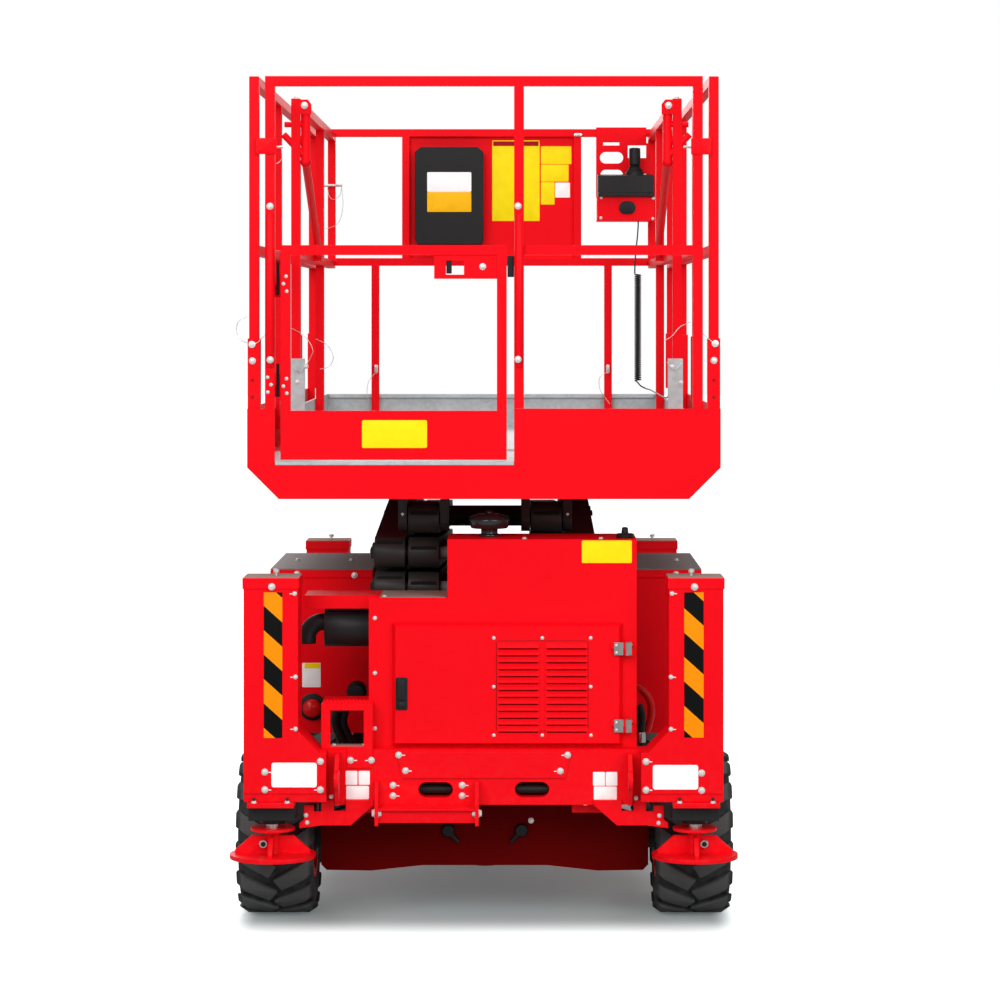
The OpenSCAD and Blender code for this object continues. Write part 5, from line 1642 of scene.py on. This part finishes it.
@dataclass
class Gate:
    """The gate's blank plate, hinge bolts, dark hinge leaves and latch."""

    rail: float
    button_size: float
    big_size: float
    plate: Box = (362.0, 420.2, 427.0, 448.0)
    bolts: Pixels = ((286.0, 276.3), (283.4, 283.8), (286.7, 291.3), (286.5, 378.7),
                     (283.4, 386.2), (286.8, 393.3))
    stop_bolts: Pixels = ((482.7, 266.6),)
    stop_face: float = -1.296
    catch: tuple[tuple[Pixel, float], ...] = (((446.4, 273.6), -1.2895), ((451.8, 259.8), -1.284))
    leaves: tuple[tuple[tuple[Pixel, float], ...], ...] = (
        (((276.4, 295.0), -1.276), ((279.4, 262.0), -1.273)),
        (((276.4, 397.0), -1.276), ((279.4, 363.5), -1.273)))
    receiver: tuple[tuple[Pixel, float], ...] = (((507.4, 277.0), -1.298), ((514.0, 256.0), -1.276))

    def build(self) -> None:
        """Make the furniture on the gate, and the hinge leaves and receiver on the rails."""
        PlateSet("gate_plate_yellow", SIGN_YELLOW, "gate", self.rail, (self.plate,),
                 thick=0.0008, radius=0.005).build()
        bolts = [button(Face.REAR, VIEW.at(p, self.rail), self.button_size) for p in self.bolts]
        bolts += rear_bolts(self.stop_bolts, self.stop_face, self.big_size)
        Workshop.piece("gate_bolts", bolts, BOLT_ZINC, "gate")
        Workshop.piece("gate_catch", [self.block(self.catch)], PLASTIC, "gate")
        leaves = [self.block(corners) for corners in self.leaves]
        Workshop.piece("gate_hinge_leaves", leaves, BLACK_METAL, "platform")
        Workshop.piece("gate_latch_receiver", [self.block(self.receiver)], PLASTIC, "platform")

    @staticmethod
    def block(corners: tuple[tuple[Pixel, float], ...]) -> Patch:
        """Return a bar between two corners, each given by its pixel and its y."""
        return bar(*(VIEW.at(pixel, y) for pixel, y in corners))


@dataclass
class ExtensionGuard:
    """Blank plates, control fittings, fold brackets and pins of the roll-out platform."""

    panel: float = 1.279
    box: float = 1.217
    tray: float = 1.1267
    upright: float = -0.609
    post: float = -0.600
    plate_thick: float = 0.001
    panel_radius: float = 0.003
    box_radius: float = 0.004
    yellow: tuple[Box, ...] = ((492.2, 140.4, 539.6, 221.0), (540.8, 146.3, 571.4, 164.2),
                               (540.8, 164.7, 568.6, 181.7), (540.8, 182.2, 554.6, 204.6))
    header: Box = (493.2, 141.4, 538.6, 146.0)
    panel_white: Box = (555.2, 182.6, 570.0, 197.6)
    box_white: Box = (427.2, 172.2, 471.3, 191.9)
    box_amber: Box = (427.2, 192.0, 471.3, 211.9)
    gland: Box = (618.9, 201.2, 635.5, 214.2)
    tray_screws: Pixels = ((601.2, 197.6), (653.4, 198.2), (600.8, 218.0), (652.8, 218.6))
    upright_bolts: Pixels = ((672.0, 366.7), (680.8, 382.5), (306.0, 366.5), (297.5, 382.0))
    screw_size: float = 0.0060
    rail_bolt: Vec = (0.586, -0.586, 2.431)
    rail_size: float = 0.0080
    toe_lip: tuple[Vec, Vec] = ((-0.5955, 1.2720, 1.4630), (0.5955, 1.2862, 1.4772))

    def build(self) -> None:
        """Make the extension's plates and screws, and then each fitted group."""
        PlateSet("panel_plates_yellow", SIGN_YELLOW, "extension", self.panel, self.yellow,
                 thick=self.plate_thick, radius=self.panel_radius).build()
        PlateSet("panel_plate_header", RED_ENAMEL_AND_SHADE, "extension", self.panel - self.plate_thick, (self.header,),
                 thick=INK, radius=0.001).build()
        white = [sign(self.panel_white, self.panel, self.plate_thick, self.panel_radius),
                 sign(self.box_white, self.box, self.plate_thick, self.box_radius)]
        Workshop.piece("guard_plates_white", white, SIGN_WHITE, "extension")
        PlateSet("manual_box_plate_amber", SIGN_AMBER, "extension", self.box, (self.box_amber,),
                 thick=self.plate_thick, radius=self.box_radius).build()
        PlateSet("tray_gland", PLASTIC, "extension", self.tray, (self.gland,),
                 thick=0.004, radius=0.022).build()
        x, y, z = self.rail_bolt
        screws = [button(Face.REAR, VIEW.at(p, self.tray), self.screw_size) for p in self.tray_screws]
        screws += rear_bolts(self.upright_bolts, self.upright, self.screw_size)
        screws += [bolt(Face.TOP, (side * x, y, z), self.rail_size) for side in SIDES]
        Workshop.piece("extension_bolts", screws, BOLT_ZINC, "extension")
        Workshop.piece("toe_board_lip", [bar(*self.toe_lip)], ZINC, "extension")
        FoldHandles(self.post).build()
        Joystick().build()
        Lanyards(self.post).build()


@dataclass
class FoldHandles:
    """The pivot brackets above the fold handles, with big bolts, and the handles' short arms."""

    post: float
    bracket: Profile = ((-0.022, -0.023), (0.021, -0.023), (0.021, 0.008), (0.010, 0.022), (-0.022, 0.022))
    bracket_x: float = 0.559
    bracket_z: float = 2.406
    bracket_back: float = 0.008
    bracket_thick: float = 0.010
    bolt_z: float = 2.410
    bolt_size: float = 0.0088
    arm_y: float = -0.588
    arms: tuple[tuple[tuple[Pixel, Pixel], float], ...] = ((((284.5, 124.6), (302.5, 124.6)), 0.0085),
                                                           (((283.5, 134.5), (303.5, 155.0)), 0.0105))

    def build(self) -> None:
        """Make the brackets, their bolts and two short arms on each side, a level one and a slanted one."""
        at = (-self.bracket_x, self.post + self.bracket_back, self.bracket_z)
        bracket = prism(Face.REAR, at, self.bracket, self.bracket_thick)
        Workshop.piece("fold_brackets", [bracket, bracket.mirrored(0)], RED, "extension")
        y = self.post + self.bracket_back - self.bracket_thick
        bolts = [bolt(Face.REAR, (side * self.bracket_x, y, self.bolt_z), self.bolt_size) for side in SIDES]
        Workshop.piece("fold_bracket_bolts", bolts, BOLT_ZINC, "extension")
        arms = []
        for ends, radius in self.arms:
            path = np.linspace(VIEW.at(ends[0], self.arm_y), VIEW.at(ends[1], self.arm_y), 4)
            arms.append(tube(path, radius, sides=16, up=ALONG_Y))
        Workshop.piece("fold_handle_arms", arms + [arm.mirrored(0) for arm in arms], RED, "extension")


@dataclass
class Joystick:
    """The control box's joystick."""

    place: Span = (0.521, 1.1847)
    boot_z: float = 2.286
    boot_high: float = 0.028
    boot_points: int = 29
    boot_radius: float = 0.032
    boot_slope: float = 0.62
    rib: float = 0.0014
    rib_pitch: float = 0.0056
    grip_z: float = 2.311
    grip: Profile = ((0.017, 0.0), (0.0208, 0.004), (0.0205, 0.052), (0.0185, 0.060), (0.012, 0.0635),
                     (0.0, 0.064))

    def build(self) -> None:
        """Make the ribbed boot, a turned profile r0 - slope h + rib cos(2 pi h / pitch), and the grip."""
        h = np.linspace(0.0, self.boot_high, self.boot_points)
        radius = self.boot_radius - self.boot_slope * h + self.rib * np.cos(h * TAU / self.rib_pitch)
        boot = turned(Face.TOP, (*self.place, self.boot_z), list(zip(radius, h)), sides=32)
        grip = turned(Face.TOP, (*self.place, self.grip_z), self.grip, sides=32)
        Workshop.piece("joystick_boot_and_grip", [boot, grip], PLASTIC, "extension")


@dataclass
class Lanyards:
    """The extension rails' pins, clips and lanyards."""

    post: float
    post_out: float = 0.012
    post_wires: tuple[Pixels, ...] = (
        ((291.7, 328.3), (302.0, 334.0), (310.0, 343.0), (313.3, 351.7)),
        ((313.0, 352.0), (308.0, 362.0), (300.0, 372.0), (293.0, 366.0)),
        ((315.8, 339.0), (327.0, 345.0), (333.3, 356.7), (329.0, 366.5), (320.0, 369.2)),
        ((664.0, 341.0), (672.0, 336.0), (680.0, 327.0), (690.8, 321.7)),
        ((667.0, 362.0), (674.0, 370.0), (682.0, 363.0)))
    front: float = 1.235
    front_wires: tuple[Pixels, ...] = (
        ((327.5, 188.0), (329.0, 196.0), (334.0, 199.5), (340.0, 195.0), (341.5, 187.0)),
        ((341.7, 187.0), (343.0, 205.0), (339.5, 221.0), (330.0, 227.8), (320.5, 228.0)),
        ((375.8, 372.0), (368.5, 382.0), (367.0, 394.0), (369.0, 402.0)),
        ((607.5, 372.0), (600.0, 377.0), (599.5, 388.0), (604.0, 396.0), (610.0, 404.0)))
    pin: Pixels = ((323.6, 185.6), (333.0, 185.4), (342.2, 185.2))
    pin_radius: float = 0.0055
    clips: tuple[tuple[Pixel, float, Vec], ...] = (
        ((376.2, 369.0), 1.2370, (0.013, 0.032, 0.006)), ((607.8, 369.0), 1.2370, (0.013, 0.032, 0.006)),
        ((578.0, 134.8), 1.2450, (0.030, 0.011, 0.005)), ((319.2, 230.5), 1.2450, (0.011, 0.034, 0.005)))
    clip_thick: float = 0.004

    def build(self) -> None:
        """Make the wires, the pin and the clips as one piece."""
        parts = [wire(points, self.post - self.post_out) for points in self.post_wires]
        parts += [wire(points, self.front) for points in self.front_wires]
        parts.append(tube(np.stack([VIEW.at(p, self.front) for p in self.pin]), self.pin_radius, sides=12))
        for pixel, y, size in self.clips:
            parts.append(plate(Face.REAR, VIEW.at(pixel, y), rounded_box(*size), self.clip_thick))
        Workshop.piece("extension_pins_and_lanyards", parts, STEEL, "extension")


# Finishes of the carried-over pieces

@dataclass
class Dressing:
    """The finish of each solid piece, with its sharp edges eased."""

    finishes: ClassVar[tuple[tuple[tuple[str, ...], Finish], ...]] = (
        (("arm_", "scissor_", "rear_axle", "front_axle", "engine_block", "knuckle", "platform_base"),
         CHARCOAL),
        (("muffler", "steering_cylinder", "lift_barrel", "jack_glands"), BLACK_METAL),
        (("steering_rod", "lift_rod"), STEEL),
        (("extension_deck",), ZINC),
        (("side_box_lids",), LID_GREY),
        (("tyre_",), TYRE),
        (("air_precleaner",), SMOKE),
        (("manual_box", "control_box", "cable_"), PLASTIC),
    )
    wide: ClassVar[tuple[str, ...]] = ("jack_housings", "side_box", "chassis_frame", "manual_box",
                                       "control_box")
    edge: float = 0.0018
    wide_edge: float = 0.0035
    weld: float = 0.00002
    flat_angle: float = math.radians(0.6)
    edge_angle: float = math.radians(35.0)

    def finish_of(self, node: str) -> Finish:
        """Return the finish of a node by the way its name begins; red paint for the rest."""
        for starts, finish in self.finishes:
            if node.startswith(starts):
                return finish
        return RED

    def build(self) -> None:
        """Give every node its finish and eased edges."""
        for name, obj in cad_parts.items():
            finish = self.finish_of(name)
            obj.data.materials.clear()
            obj.data.materials.append(finish.material())
            if name.startswith("cable_"):
                continue
            weld = obj.modifiers.new("weld", "WELD")
            weld.merge_threshold = self.weld
            flat = obj.modifiers.new("flat", "DECIMATE")
            flat.decimate_type = "DISSOLVE"
            flat.angle_limit = self.flat_angle
            bevel = obj.modifiers.new("eased_edges", "BEVEL")
            bevel.width = self.wide_edge if name.startswith(self.wide) else self.edge
            bevel.segments = 2
            bevel.limit_method = "ANGLE"
            bevel.angle_limit = self.edge_angle
            bevel.harden_normals = True
            LOG.info("%s: %s", name, finish.name)


def main() -> None:
    """Build the studio and every sub-assembly in order, and log how many pieces are new."""
    logging.basicConfig(level=logging.INFO, format="%(message)s")
    for part in (Studio(), ControlCable(), Dressing(), Wheels(), JackTowers(), RearBeam(), EngineBay(),
                 ScissorStack(), PlatformCage(), ExtensionGuard()):
        part.build()
    LOG.info("%d new pieces", Workshop.count)


if __name__ == "__main__":
    main()
